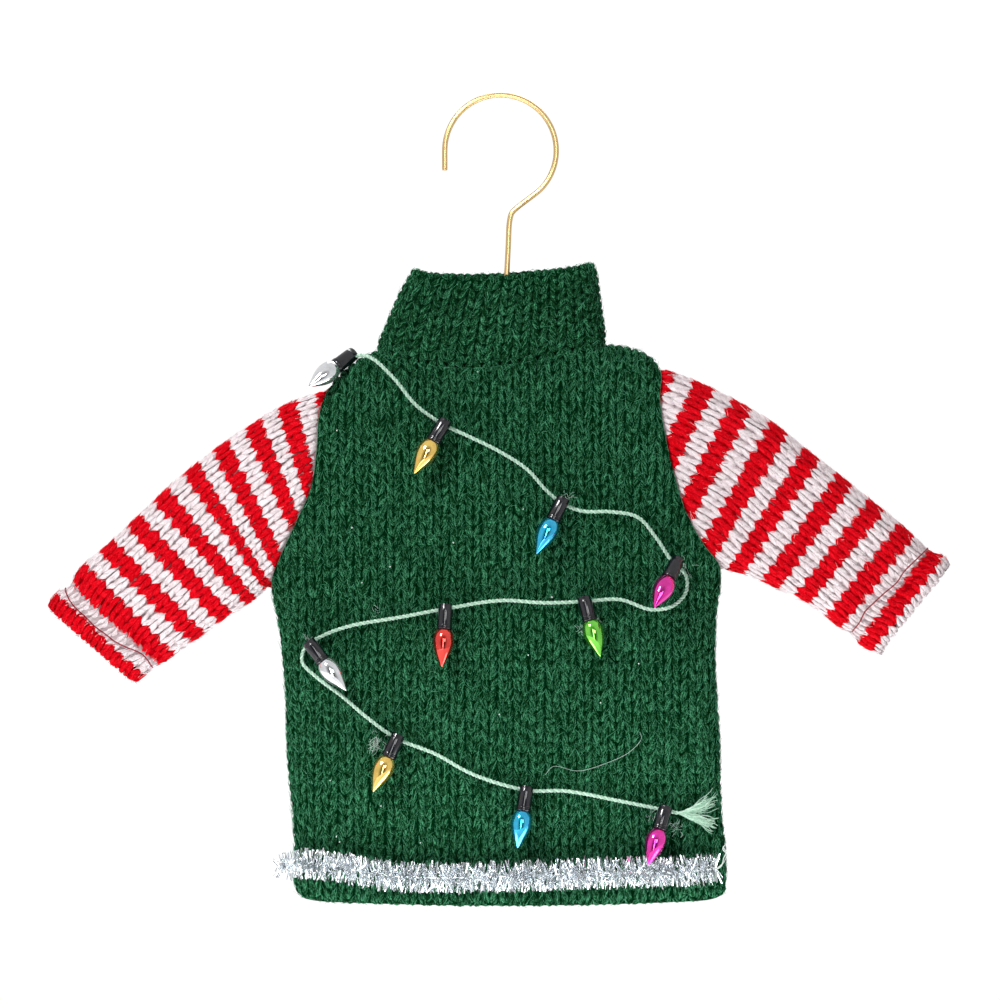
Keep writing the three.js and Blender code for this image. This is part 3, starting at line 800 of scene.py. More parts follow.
class Outline:
    """The folded outline that the cloth turns round."""

    def __init__(self, lines: Sequence[np.ndarray], hands: Sequence[int]) -> None:
        """Keeps the lines as segments, each line with its outer side at its left (1) or right."""
        self.start = np.vstack([line[:-1] for line in lines])
        self.run = np.vstack([line[1:] - line[:-1] for line in lines])
        self.square = np.maximum(np.sum(self.run**2, axis=1), 1e-12)
        hand = np.concatenate([np.full(len(line) - 1, h) for line, h in zip(lines, hands)])
        self.out = unit(np.stack([-self.run[:, 1], self.run[:, 0]], axis=1)) * hand[:, None]

    def nearest(self, flat: np.ndarray) -> tuple[np.ndarray, np.ndarray]:
        """How far each point is from the outline, and the direction towards it."""
        distance = np.empty(len(flat))
        direction = np.empty((len(flat), 2))
        for first in range(0, len(flat), 8192):
            part = flat[first : first + 8192]
            away = part[:, None] - self.start[None]
            share = np.clip(np.sum(away * self.run[None], axis=2) / self.square, 0, 1)
            foot = self.start[None] + self.run[None] * share[..., None] - part[:, None]
            far = np.sum(foot**2, axis=2)
            best = np.argmin(far, axis=1)
            index = np.arange(len(part))
            reach, way = np.sqrt(far[index, best]), foot[index, best]
            beyond = (np.sum(way * self.out[best], axis=1) < 0) & (reach < 3)
            reach = np.where(beyond, 0, reach)
            distance[first : first + 8192] = reach
            direction[first : first + 8192] = np.where(
                (reach < 0.1)[:, None], self.out[best], unit(way))
        return distance, direction


def fold_depth(side: int, flat: np.ndarray) -> np.ndarray:
    """How deep the creases of one side are at points of the flat."""
    depth = np.zeros(len(flat))
    for fold_side, x, z, half_length, half_width, fold, tilt in FOLDS:
        if fold_side == side:
            angle = math.radians(tilt)
            dx, dz = flat[:, 0] - x, flat[:, 1] - z
            along = (dx * math.cos(angle) + dz * math.sin(angle)) / half_length
            across = (dz * math.cos(angle) - dx * math.sin(angle)) / half_width
            depth += fold * np.exp(-(along**2) - across**2)
    return depth


@dataclass
class ClothForm:
    """The cloth's outer face over the flat of a garment that is folded round its outline."""

    outline: Outline

    def cover(
        self,
        flat: np.ndarray,
        side: int,
        depth: np.ndarray | float,
        lift: np.ndarray | float = 0.0,
        least: float = 0.0,
    ) -> tuple[np.ndarray, np.ndarray]:
        """Points on the cloth.

        Args:
            flat: points in the flat of the garment.
            side: -1 for the front and 1 for the back.
            depth: half the depth of the flat tube.
            lift: how far the points stand over the cloth's face.
            least: the least distance from the flat's own plane.

        Returns:
            The points and the cloth's normals.
        """
        distance, direction = self.outline.nearest(flat)
        turn = 1 - np.minimum(distance, depth) / depth
        rise = np.sqrt(np.maximum(1 - turn * turn, 0))
        fold = fold_depth(side, flat) * rise * rise
        height = np.maximum(depth * rise - fold, least)
        outer = np.stack([flat[:, 0], side * height, flat[:, 1]], axis=1)
        normal = unit(np.stack(
            [direction[:, 0] * turn, side * rise, direction[:, 1] * turn], axis=1))
        points = outer + normal * np.broadcast_to(np.asarray(lift, float), height.shape)[:, None]
        points[:, 1] = side * np.maximum(side * points[:, 1], least)
        return points, normal


def half_steps(first: float, last: float) -> np.ndarray:
    """Places half a row apart from one row to another."""
    return np.linspace(first, last, int(round(abs(last - first) * 2)) + 1)


BODY_TABLE = RowTable(BODY_ROWS)
RIGHT_SLEEVE_TABLE = RowTable(RIGHT_SLEEVE_ROWS)
LEFT_SLEEVE_TABLE = RowTable(LEFT_SLEEVE_ROWS)
COLLAR_TABLE = RowTable(COLLAR_ROWS, NECK_SKEW)


def garment_form() -> ClothForm:
    """The form of the body with its sleeves."""
    lines = []
    neck = len(BODY_ROWS) - 1
    cuff = len(RIGHT_SLEEVE_ROWS) - 1
    for end, sleeve in (("start", RIGHT_SLEEVE_TABLE), ("end", LEFT_SLEEVE_TABLE)):
        lines.append(np.vstack([
            BODY_TABLE.edge(end, half_steps(0, UNDERARM_ROW)),
            sleeve.edge("end", half_steps(0, cuff)),
        ]))
        lines.append(np.vstack([
            sleeve.edge("start", half_steps(cuff, 0)),
            BODY_TABLE.edge(end, half_steps(SHOULDER_ROW, neck)),
        ]))
    return ClothForm(Outline(lines, (1, 1, -1, -1)))


def collar_form() -> ClothForm:
    """The form of the collar alone."""
    places = half_steps(0, len(COLLAR_ROWS) - 1)
    lines = [COLLAR_TABLE.edge(end, places) for end in ("start", "end")]
    return ClothForm(Outline(lines, (1, -1)))


GARMENT = garment_form()
COLLAR_FORM = collar_form()


def front_face(x: float, z: float) -> float:
    """The front cloth's outer face over a place of the flat."""
    return float(GARMENT.cover(np.array([[x, z]]), -1, 5.0, least=SEAM_GAP / 2)[0][0, 1])


def turned_run(arc: np.ndarray, depth: np.ndarray | float) -> np.ndarray:
    """How far into the flat an arc from the outline reaches as the cloth turns round it."""
    angle = np.clip(arc / depth, 0, math.pi / 2)
    return depth * (1 - np.cos(angle)) + np.maximum(arc - depth * math.pi / 2, 0)


def shell_object(
    name: str,
    outer: np.ndarray,
    inner: np.ndarray,
    round_about: bool,
    material: bpy.types.Material,
    stripe: np.ndarray | None = None,
) -> bpy.types.Object:
    """A closed thin shell from a grid of outer points and one of inner points.

    Args:
        name: the piece's name.
        outer: rows by columns of points.
        inner: the same for the inner face.
        round_about: whether the columns join into a ring.
        material: the shell's finish.
        stripe: the second dye's share at each point of the grid.

    Returns:
        The shell.
    """
    rows, columns = outer.shape[:2]
    index = np.arange(rows * columns).reshape(rows, columns)
    if round_about:
        index = np.concatenate([index, index[:, :1]], axis=1)
    grid = np.stack(
        [index[:-1, :-1], index[:-1, 1:], index[1:, 1:], index[1:, :-1]], axis=-1
    ).reshape(-1, 4)
    under = rows * columns
    ends = []
    for line, forward in ((index[0], False), (index[-1], True)):
        strip = np.stack([line[:-1], line[1:], line[1:] + under, line[:-1] + under], axis=-1)
        ends.append(strip[:, ::-1] if forward else strip[:, ::1])
    if not round_about:
        for line, forward in ((index[:, 0], True), (index[:, -1], False)):
            strip = np.stack([line[:-1], line[1:], line[1:] + under, line[:-1] + under], axis=-1)
            ends.append(strip[:, ::-1] if forward else strip)
    faces = np.vstack([grid[:, ::-1], grid + under, *(strip[:, ::-1] for strip in ends)])
    points = np.vstack([outer.reshape(-1, 3), inner.reshape(-1, 3)])
    a, b, c = (points[faces[:, k]] for k in (0, 1, 2))
    d = points[faces[:, 3]]
    volume = np.sum(a * np.cross(b, c)) + np.sum(a * np.cross(c, d))
    if volume < 0:
        faces = faces[:, ::-1]
    values = {"inside": np.repeat([0.0, 1.0], [under, under])}
    if stripe is not None:
        values["stripe"] = np.tile(stripe.ravel(), 2)
    return mesh_object(name, points, faces, material, values)


# Knitting


@dataclass
class Stitches:
    """The middles and sizes of a piece's stitches."""

    across: np.ndarray
    along: np.ndarray
    wale: np.ndarray
    course: np.ndarray
    stripe: np.ndarray


@dataclass
class Knitter:
    """Makes the V-shaped stitches of a piece and the fuzz over them."""

    leg_width: float = 0.222  # half, in wales
    foot: tuple[float, float] = (0.10, -0.58)  # a leg's ends, in wales and courses
    head: tuple[float, float] = (0.42, 0.80)
    swell: tuple[float, ...] = (0.55, 1.0, 1.0, 0.76, 0.26)
    leg_height: float = 0.48
    sunk: float = 0.5  # the leg's middle under the cloth's face
    dip: float = 0.6  # how far its two ends go under
    drops: tuple[float, ...] = (0.55, 0.08, 0.0, 0.3, 0.8)  # of the dip, from foot to head
    jitter: float = 0.08
    unit_size: tuple[float, float] = (1.0, 1.0)  # millimetres to a unit across and along
    leg_rings: int = 5
    leg_sides: int = 5

    def legs(
        self,
        name: str,
        place: Callable[[np.ndarray, np.ndarray, np.ndarray], np.ndarray],
        stitches: Stitches,
        material: bpy.types.Material,
        seed: int,
    ) -> bpy.types.Object:
        """All the stitches of one piece as one mesh.

        Args:
            name: the piece's name.
            place: gives the points for distances across, along and over the cloth.
            stitches: where the stitches are.
            material: the yarn.
            seed: of the small unevenness.

        Returns:
            The knit piece.
        """
        rng = np.random.default_rng(seed)
        run = np.linspace(0, 1, self.leg_rings)
        middle_x = self.foot[0] + (self.head[0] - self.foot[0]) * run
        middle_y = self.foot[1] + (self.head[1] - self.foot[1]) * run
        swell = np.array(self.swell)
        drop = self.dip * np.array(self.drops)
        outline = np.array([(-1, -0.3), (-0.72, 0.6), (0, 1.0), (0.72, 0.6), (1, -0.3)])
        count = len(stitches.across)
        legs = 2 * count
        hand = np.tile([-1.0, 1.0], count)
        wale, course, across, along, stripe = (
            np.repeat(v, 2)
            for v in (stitches.wale, stitches.course, stitches.across, stitches.along,
                      stitches.stripe)
        )
        across = across + rng.normal(0, self.jitter * 0.5, legs) * wale
        along = along + rng.normal(0, self.jitter * 0.6, legs) * course
        size = 1 + rng.normal(0, self.jitter, legs) - 0.12 * stripe
        x = middle_x[None] * wale[:, None]
        y = middle_y[None] * course[:, None]
        dx, dy = np.gradient(x, axis=1), np.gradient(y, axis=1)
        length = np.sqrt(dx**2 + dy**2)
        out_x, out_y = dy / length, -dx / length
        half = (self.leg_width * wale * size)[:, None] * swell[None]
        px = x[..., None] + out_x[..., None] * half[..., None] * outline[None, None, :, 0]
        py = y[..., None] + out_y[..., None] * half[..., None] * outline[None, None, :, 0]
        tall = self.leg_height * size[:, None, None] * (0.45 + 0.55 * swell[None, :, None])
        ph = -self.sunk - drop[None, :, None] + tall * outline[None, None, :, 1]
        points = place(
            (across[:, None, None] + hand[:, None, None] * px).ravel(),
            (along[:, None, None] + py).ravel(),
            np.broadcast_to(ph, px.shape).ravel(),
        )
        per_leg = self.leg_rings * self.leg_sides
        wall = tube_faces(self.leg_rings, self.leg_sides)
        first = np.arange(legs)[:, None, None] * per_leg
        body = wall[None] + first
        body = np.where((hand > 0)[:, None, None], body, body[:, :, ::-1]).reshape(-1, 4)
        last = per_leg - self.leg_sides
        start_cap, end_cap = np.arange(self.leg_sides)[::-1], np.arange(self.leg_sides) + last
        caps = np.stack([start_cap, end_cap])[None] + first
        caps = np.where((hand > 0)[:, None, None], caps, caps[:, :, ::-1])
        caps = caps.reshape(-1, self.leg_sides)
        i, k = np.meshgrid(
            np.arange(self.leg_rings - 1), np.arange(self.leg_sides), indexing="ij")
        u = np.stack([k, k + 1, k + 1, k], axis=-1).reshape(-1, 4) / self.leg_sides
        v = np.stack([i, i, i + 1, i + 1], axis=-1).reshape(-1, 4) / (self.leg_rings - 1)
        shift = rng.uniform(0, 40, (legs, 1, 1))
        u, v = u[None] + shift, v[None] * 1.0 + shift * 0.37
        u = np.where((hand > 0)[:, None, None], u, u[:, :, ::-1])
        v = np.where((hand > 0)[:, None, None], v, v[:, :, ::-1])
        uv = np.stack([u.ravel(), v.ravel()], axis=-1)
        uv = np.vstack([uv, np.zeros((caps.size, 2))])
        faces = [*body.tolist(), *caps.tolist()]
        tone = np.repeat(rng.uniform(0, 1, legs), per_leg)
        # painted shade: points of a leg lower under the cloth's face get more of the yarn's deep
        # colour, for the gaps between stitches
        rise = np.clip((ph + 1.25) / 1.3, 0, 1)
        values = {
            "tone": tone,
            "rise": np.broadcast_to(rise, px.shape).ravel(),
            "stripe": np.repeat(stripe, per_leg),
        }
        return mesh_object(name, points, faces, material, values, uv)

    def fuzz(
        self,
        name: str,
        place: Callable[[np.ndarray, np.ndarray, np.ndarray], np.ndarray],
        stitches: Stitches,
        material: bpy.types.Material,
        count: int,
        seed: int,
    ) -> bpy.types.Object:
        """Fine loose fibres over the stitches as one mesh.

        Args:
            name: the piece's name.
            place: gives the points for distances across, along and over the cloth.
            stitches: the stitches that they come out of.
            material: the fibre.
            count: how many fibres.
            seed: of their places and curls.

        Returns:
            The piece.
        """
        rng = np.random.default_rng(seed)
        pick = rng.integers(0, len(stitches.across), count)
        hand = rng.choice([-1.0, 1.0], count)
        wale, course = stitches.wale[pick], stitches.course[pick]
        rise_x = (self.head[0] - self.foot[0]) * wale
        rise_y = (self.head[1] - self.foot[1]) * course
        share = rng.uniform(-0.1, 0.8, count)
        heading = np.arctan2(rise_y * self.unit_size[1], hand * rise_x * self.unit_size[0])
        heading = heading + rng.normal(0, 0.38, count)
        stray = rng.uniform(0, 1, count) < 0.05
        length = rng.uniform(0.6, 1.7, count) * np.where(stray, 1.7, 1)
        x = (stitches.across[pick] + hand * (self.foot[0] * wale + rise_x * share)
             + rng.normal(0, 0.28, count) / self.unit_size[0])
        y = (stitches.along[pick] + self.foot[1] * course + rise_y * share
             + rng.normal(0, 0.2, count) / self.unit_size[1])
        steps = np.array([0.0, 1.0])
        x = x[:, None] + (np.cos(heading) * length / self.unit_size[0])[:, None] * steps
        y = y[:, None] + (np.sin(heading) * length / self.unit_size[1])[:, None] * steps
        peak = rng.uniform(0.02, 0.26, count) + np.where(stray, 0.35, 0)
        lift = -0.12 + (peak + 0.12)[:, None] * steps
        middle = place(x.ravel(), y.ravel(), lift.ravel()).reshape(count, 2, 3)
        tangent = unit(middle[:, 1:] - middle[:, :1])
        side = unit(np.cross(tangent, np.array([0.13, 1.0, 0.21])))
        up = np.cross(tangent, side)
        turn = np.arange(3) / 3 * 2 * math.pi
        thick = rng.uniform(0.028, 0.06, count)[:, None, None, None] * np.array(
            [1.0, 0.45])[None, :, None, None]
        ring = (np.cos(turn)[:, None] * side[:, :, None] + np.sin(turn)[:, None] * up[:, :, None])
        points = (middle[:, :, None] + ring * thick).reshape(-1, 3)
        first = (np.arange(count) * 6)[:, None, None]
        body = (tube_faces(2, 3)[None] + first).reshape(-1, 4)
        caps = (np.array([[2, 1, 0], [3, 4, 5]])[None] + first).reshape(-1, 3)
        tone = np.repeat(rng.uniform(0, 1, count), 6)
        stripe = np.repeat(stitches.stripe[pick], 6)
        values = {"tone": tone, "rise": np.ones(count * 6), "stripe": stripe}
        return mesh_object(
            name, points, [*body.tolist(), *caps.tolist()], material, values)


@dataclass
class Yarns:
    """The finishes that all the cloth shares."""

    green: bpy.types.Material = field(init=False)
    striped: bpy.types.Material = field(init=False)
    green_backing_gap_shade: bpy.types.Material = field(init=False)
    striped_backing_gap_shade: bpy.types.Material = field(init=False)
    green_fuzz: bpy.types.Material = field(init=False)
    striped_fuzz: bpy.types.Material = field(init=False)
    red_thread: bpy.types.Material = field(init=False)
    lint: bpy.types.Material = field(init=False)

    def __post_init__(self) -> None:
        """Builds the materials."""
        # Each yarn's deep colours are painted shade for the gaps between legs
        self.green = YarnFinish(
            "green_yarn", (0.0002, 0.020, 0.004), (0.072, 0.32, 0.158), (0.0002, 0.014, 0.003),
            contrast=2.9).dress()
        self.striped = YarnFinish(
            "striped_yarn", (0.56, 0.0, 0.004), (0.90, 0.008, 0.022), (0.42, 0.0, 0.003),
            (0.78, 0.67, 0.70), (0.97, 0.91, 0.92), (0.54, 0.40, 0.44),
            contrast=1.5
        ).dress()
        # The grounds' outer colours are painted shade between the stitches
        self.green_backing_gap_shade = GapShadeBackingFinish(
            "green_ground", (0.0005, 0.022, 0.006), (0.003, 0.05, 0.018)).dress()
        self.striped_backing_gap_shade = GapShadeBackingFinish(
            "striped_ground", (0.44, 0.0, 0.005), (0.5, 0.003, 0.01),
            (0.56, 0.45, 0.47), (0.6, 0.53, 0.54)).dress()
        self.green_fuzz = ThreadFinish(
            "green_fibre", (0.002, 0.06, 0.018), (0.12, 0.47, 0.26)).dress()
        self.striped_fuzz = YarnFinish(
            "striped_fibre", (0.66, 0.002, 0.01), (0.9, 0.04, 0.06), (0.5, 0.0, 0.01),
            (0.82, 0.72, 0.74), (0.96, 0.9, 0.91), (0.6, 0.5, 0.5)).dress()
        self.red_thread = ThreadFinish(
            "dark_red_thread", (0.14, 0.0, 0.006), (0.32, 0.004, 0.02), 0.5).dress()
        self.lint = ThreadFinish("white_lint", (0.22, 0.40, 0.32), (0.9, 0.95, 0.92)).dress()


@dataclass
class BodyPanel:
    """The front or the back of the body."""

    side: Side
    yarns: Yarns
    wale: float = 3.5
    course: float = 2.27
    axis: float = 1.0  # x of the middle wale
    hem_roll: float = 1.1
    hem_z: float = -177.2
    seed: int = 11
    fibres: int = 7000
    rows: int = 60
    columns: int = 54

    def __post_init__(self) -> None:
        """Reads the panel's edges from the table."""
        places = np.linspace(0, SHOULDER_ROW, 400)
        self.left = BODY_TABLE.edge("start", places)
        self.right = BODY_TABLE.edge("end", places)
        neck = len(BODY_ROWS) - 1
        line = BODY_TABLE.at(np.full(60, float(neck)))
        line.skew[:] = NECK_SKEW
        line.bow *= 1.0 if self.side is Side.FRONT else BACK_BOW
        neckline = line.flat(np.linspace(0, 1, 60))
        slope = np.linspace(SHOULDER_ROW, neck, 40)
        top = np.vstack([
            BODY_TABLE.edge("start", slope), neckline, BODY_TABLE.edge("end", slope[::-1])])
        self.top = top[np.argsort(top[:, 0])]
        hem = BODY_TABLE.at(np.zeros(60))
        self.hem = hem.flat(np.linspace(0, 1, 60))
        self.neck_from, self.neck_to = neckline[0, 0], neckline[-1, 0]

    def depth(self, z: np.ndarray) -> np.ndarray:
        """Half the depth of the body at heights."""
        return np.interp(z, [-177.2, -175.5, -65, -58, -54.5], [4.8, 5.0, 4.9, 4.75, 4.6])

    def place(self, across: np.ndarray, along: np.ndarray, lift: np.ndarray) -> np.ndarray:
        """Points on the panel for distances from the middle wale and up from the hem."""
        z = self.hem_z + self.hem_roll + np.maximum(along, 0)
        low = np.interp(z, self.left[:, 1], self.left[:, 0])
        high = np.interp(z, self.right[:, 1], self.right[:, 0])
        depth = self.depth(z)
        turning = np.clip((-101.5 - z) / 8.0, 0, 1)
        x = across + self.axis
        spare = depth * (math.pi / 2 - 1)
        arc_low = across + self.axis - (low - spare)
        arc_high = (high + spare) - (across + self.axis)
        near = np.where(arc_low < arc_high, low + turned_run(np.maximum(arc_low, 0), depth),
                        high - turned_run(np.maximum(arc_high, 0), depth))
        x = x + (near - x) * turning
        x = np.clip(x, low + 0.03, high - 0.03)
        lift = lift - 0.35 * (1 - turning) * np.exp(-(np.minimum(x - low, high - x) / 0.7) ** 2)
        hem = np.interp(x, self.hem[:, 0], self.hem[:, 1]) + self.hem_roll
        z = z + (hem - self.hem_z - self.hem_roll) * np.clip(1 - np.maximum(along, 0) / 25, 0, 1)
        top = np.interp(x, self.top[:, 0], self.top[:, 1])
        over = np.clip((self.neck_from + 5 - x) / 5, 0, 1) + np.clip(
            (x - self.neck_to + 5) / 5, 0, 1)
        arc = (top + depth * (math.pi / 2 - 1)) - z
        turned = top - turned_run(np.maximum(arc, 0), depth)
        z = np.where(z > -75, z + (turned - z) * np.clip(over, 0, 1) * (z > top - 8), z)
        z = np.minimum(z, top - 0.04)
        flat = np.stack([x, z], axis=1)
        outer, normal = GARMENT.cover(flat, self.side.value, depth, 0.0, SEAM_GAP / 2)
        beyond = np.maximum(-along, 0)
        angle = np.minimum(beyond / self.hem_roll, math.pi)
        inner = np.maximum(beyond - self.hem_roll * math.pi, 0)
        down = np.array([0.0, 0.0, -1.0])
        heading = normal * np.cos(angle)[:, None] + down * np.sin(angle)[:, None]
        heading = unit(heading)
        centre = outer - normal * self.hem_roll
        points = centre + heading * (self.hem_roll + lift)[:, None] - down * inner[:, None]
        least = self.side.value * SEAM_GAP / 2
        points[:, 1] = (
            np.minimum(points[:, 1], least) if self.side is Side.FRONT
            else np.maximum(points[:, 1], least))
        return points

    def stitches(self) -> Stitches:
        """Where the panel's stitches are."""
        wales = np.arange(-18, 19) + (0.0 if self.side is Side.FRONT else 0.5)
        courses = np.arange(-1, 56)
        across, along = (v.ravel() for v in np.meshgrid(
            wales * self.wale, (courses + 0.5) * self.course, indexing="ij"))
        z = self.hem_z + self.hem_roll + along
        low = np.interp(z, self.left[:, 1], self.left[:, 0])
        high = np.interp(z, self.right[:, 1], self.right[:, 0])
        turning = np.clip((-101.5 - z) / 8.0, 0, 1)
        spare = 5.0 * (math.pi / 2 - 1) * turning
        x = across + self.axis
        over_edge = 1.4 * (1 - turning) - 0.3
        inside = (x > low - spare - over_edge) & (x < high + spare + over_edge)
        top = np.interp(x, self.top[:, 0], self.top[:, 1])
        over = (x < self.neck_from) | (x > self.neck_to)
        inside &= z < top + np.where(over, 5.0 * (math.pi / 2 - 1), 0.9)
        across, along = across[inside], along[inside]
        even = np.ones(len(across))
        return Stitches(across, along, even * self.wale, even * self.course, even * 0)

    def build(self) -> None:
        """Makes the panel's shell, knit and fuzz."""
        word = self.side.name.lower()
        neck = len(BODY_ROWS) - 1
        places = np.sort(np.concatenate([
            np.linspace(0, 1.5, 10), np.linspace(1.7, neck, self.rows - 10)]))
        end = np.array([0, 0.04, 0.16, 0.36, 0.65, 1.0])
        grid_outer, grid_inner = [], []
        for place in places:
            row = BODY_TABLE.at(np.full(self.columns, place))
            row.skew[:] = NECK_SKEW if place > UNDERARM_ROW else 0
            if self.side is Side.BACK and place > UNDERARM_ROW:
                row.bow *= BACK_BOW
            length = np.linalg.norm(row.end[0] - row.start[0])
            edge = end * row.depth[0] / length
            share = np.concatenate([
                edge, np.linspace(edge[-1], 1 - edge[-1], self.columns - 10)[1:-1],
                (1 - edge)[::-1]])
            flat = row.flat(share)
            fold = np.minimum(share, 1 - share) * length
            full = 0.32 * np.exp(-(fold / 1.6) ** 2) * (place < UNDERARM_ROW)
            outer, normal = GARMENT.cover(
                flat, self.side.value, row.depth, full - SHELL_SINK, SEAM_GAP / 2)
            inner = outer - normal * SHELL_WALL
            sign = self.side.value
            inner[:, 1] = sign * np.maximum(sign * inner[:, 1], SEAM_GAP / 2)
            if place < 0.01:
                outer[:, 2] += 0.5
                inner[:, 2] += 0.5
            grid_outer.append(outer)
            grid_inner.append(inner)
        shell = shell_object(
            f"{word}_ground", np.array(grid_outer), np.array(grid_inner), False,
            self.yarns.green_backing_gap_shade)
        kept(shell, "green_knit", word)
        stitches = self.stitches()
        knitter = Knitter()
        knit = knitter.legs(
            f"{word}_knit", self.place, stitches, self.yarns.green, self.seed)
        kept(knit, "green_knit")
        fuzz = knitter.fuzz(
            f"{word}_fuzz", self.place, stitches, self.yarns.green_fuzz, self.fibres,
            self.seed + 1)
        kept(fuzz, "green_knit")


@dataclass
class Sleeve:
    """A striped sleeve, folded along its top and bottom, with a folded cuff."""

    name: str
    table: RowTable
    stripes: Sequence[Sequence[float]]
    outward: int
    body_edge: str
    last_course: float
    cuff_line: Sequence[Sequence[float]]
    flat_size: tuple[float, float]
    yarns: Yarns
    seed: int
    gather: float = 0.0  # how far the sewing pushes the cuff's courses out
    wale: float = 2.82
    roll: float = 1.0
    rows: int = 50

    def __post_init__(self) -> None:
        """Reads the sleeve's edges and its stripes."""
        places = np.linspace(0, self.table.last, 400)
        self.places = places
        self.top = self.table.edge("start", places)
        self.bottom = self.table.edge("end", places)
        self.armhole = BODY_TABLE.edge(
            self.body_edge, np.linspace(UNDERARM_ROW, SHOULDER_ROW, 120))
        self.guides = np.array(self.stripes, float)

    def course_line(self, course: np.ndarray) -> tuple[np.ndarray, np.ndarray]:
        """The ends of courses on the top fold and on the bottom one."""
        index = np.arange(len(self.guides)) * 4.0
        ends = []
        for columns in ((0, 1), (2, 3)):
            ends.append(np.stack([
                np.interp(course, index, self.guides[:, k])
                + np.where(course > index[-1], (course - index[-1]) / 4
                           * (self.guides[-1, k] - self.guides[-2, k]), 0)
                + np.where(course < 0, course / 4 * (self.guides[1, k] - self.guides[0, k]), 0)
                for k in columns], axis=1))
        top, bottom = ends
        up = np.interp(self.outward * top[:, 0], self.outward * self.top[:, 0], self.top[:, 1])
        top = np.where((self.outward * top[:, 0] > self.outward * self.top[0, 0])[:, None],
                       np.stack([top[:, 0], up], axis=1), top)
        down = np.interp(
            self.outward * bottom[:, 0], self.outward * self.bottom[:, 0], self.bottom[:, 1])
        bottom = np.where(
            (self.outward * bottom[:, 0] > self.outward * self.bottom[0, 0])[:, None],
            np.stack([bottom[:, 0], down], axis=1), bottom)
        return top, bottom

    def depth(self, top: np.ndarray, bottom: np.ndarray, share: np.ndarray) -> np.ndarray:
        """Half the depth of the sleeve at a share of each course's line."""
        values = self.table.values[:, 5]
        index = np.arange(self.table.last + 1)
        at_top = np.interp(np.interp(
            self.outward * top[:, 0], self.outward * self.top[:, 0], self.places), index, values)
        at_bottom = np.interp(np.interp(
            self.outward * bottom[:, 0], self.outward * self.bottom[:, 0], self.places),
            index, values)
        return at_top + (at_bottom - at_top) * share

    def place(self, across: np.ndarray, along: np.ndarray, lift: np.ndarray) -> np.ndarray:
        """Points on the sleeve for arcs from the top fold and course numbers.

        Args:
            across: the arc from the top fold, above 0 on the front and below it on the back.
            along: the course number, counted down from the armhole; stitches point back to it.
            lift: how far the point stands over the cloth.

        Returns:
            The points.
        """
        course = -along
        held = np.minimum(course, self.last_course)
        top, bottom = self.course_line(held)
        length = np.linalg.norm(bottom - top, axis=1)
        heading = unit(bottom - top)
        arc = np.abs(across)
        depth = self.depth(top, bottom, np.clip(arc / length, 0, 1))
        full = length + depth * (math.pi - 2)
        half = full / 2
        run = np.where(arc < half, turned_run(arc, depth),
                       length - turned_run(np.maximum(full - arc, 0), depth))
        flat = top + heading * np.clip(run, 0.03, length - 0.03)[:, None]
        edge = np.interp(flat[:, 1], self.armhole[:, 1], self.armhole[:, 0])
        out_of = np.maximum(self.outward * (flat[:, 0] - edge), -0.9)
        flat[:, 0] = edge + self.outward * out_of
        points = np.empty((len(across), 3))
        beyond = np.maximum(course - self.last_course, 0) * 2.2
        angle = np.minimum(beyond / self.roll, math.pi)
        inner = np.maximum(beyond - self.roll * math.pi, 0)
        out = unit(np.stack([-heading[:, 1], heading[:, 0]], axis=1))
        out = out * np.sign(out[:, 0] * self.outward)[:, None]
        out3 = np.stack([out[:, 0], np.zeros(len(out)), out[:, 1]], axis=1)
        groove = self.groove(flat) + 1.25 * np.clip(1 - (out_of + 0.2) / 1.6, 0, 1) ** 2
        for sign in (-1, 1):
            pick = (across >= 0) if sign < 0 else (across < 0)
            outer, normal = GARMENT.cover(flat[pick], sign, depth[pick], 0.0)
            turn = angle[pick][:, None]
            heading3 = unit(normal * np.cos(turn) + out3[pick] * np.sin(turn))
            centre = outer - normal * self.roll
            lifted = self.roll + (lift - groove)[pick]
            points[pick] = centre + heading3 * lifted[:, None] - out3[pick] * inner[pick][:, None]
        return points

    def groove(self, flat: np.ndarray) -> np.ndarray:
        """How far the cuff's sewing pulls the cloth in."""
        line = Outline([np.array(self.cuff_line, float)], (1,))
        return 0.45 * np.exp(-((line.nearest(flat)[0] / 0.9) ** 2))

    def is_white(self, course: np.ndarray) -> np.ndarray:
        """Whether courses are white."""
        return (((course + 1) % 4) >= 2).astype(float)

    def stitches(self) -> Stitches:
        """Where the sleeve's stitches are."""
        courses = np.arange(-3.5, self.last_course + 3.0)
        wales = np.arange(-22, 22) + 0.5
        across, course = (v.ravel() for v in np.meshgrid(
            wales * self.wale, courses, indexing="ij"))
        white = self.is_white(course)
        top, bottom = self.course_line(np.minimum(course, self.last_course))
        length = np.linalg.norm(bottom - top, axis=1)
        full = length + 4.5 * (math.pi - 2)
        arc = np.abs(across)
        inside = arc < full - 0.4
        course = course + self.gather * np.exp(-((course - self.last_course + 2.4) / 1.2) ** 2)
        run = np.where(arc < full / 2, turned_run(arc, 4.5),
                       length - turned_run(np.maximum(full - arc, 0), 4.5))
        flat = top + unit(bottom - top) * run[:, None]
        edge = np.interp(flat[:, 1], self.armhole[:, 1], self.armhole[:, 0])
        inside &= self.outward * (flat[:, 0] - edge) > -1.2
        across, course = across[inside], course[inside]
        even = np.ones(len(across))
        return Stitches(across, -course, even * self.wale, even, white[inside])

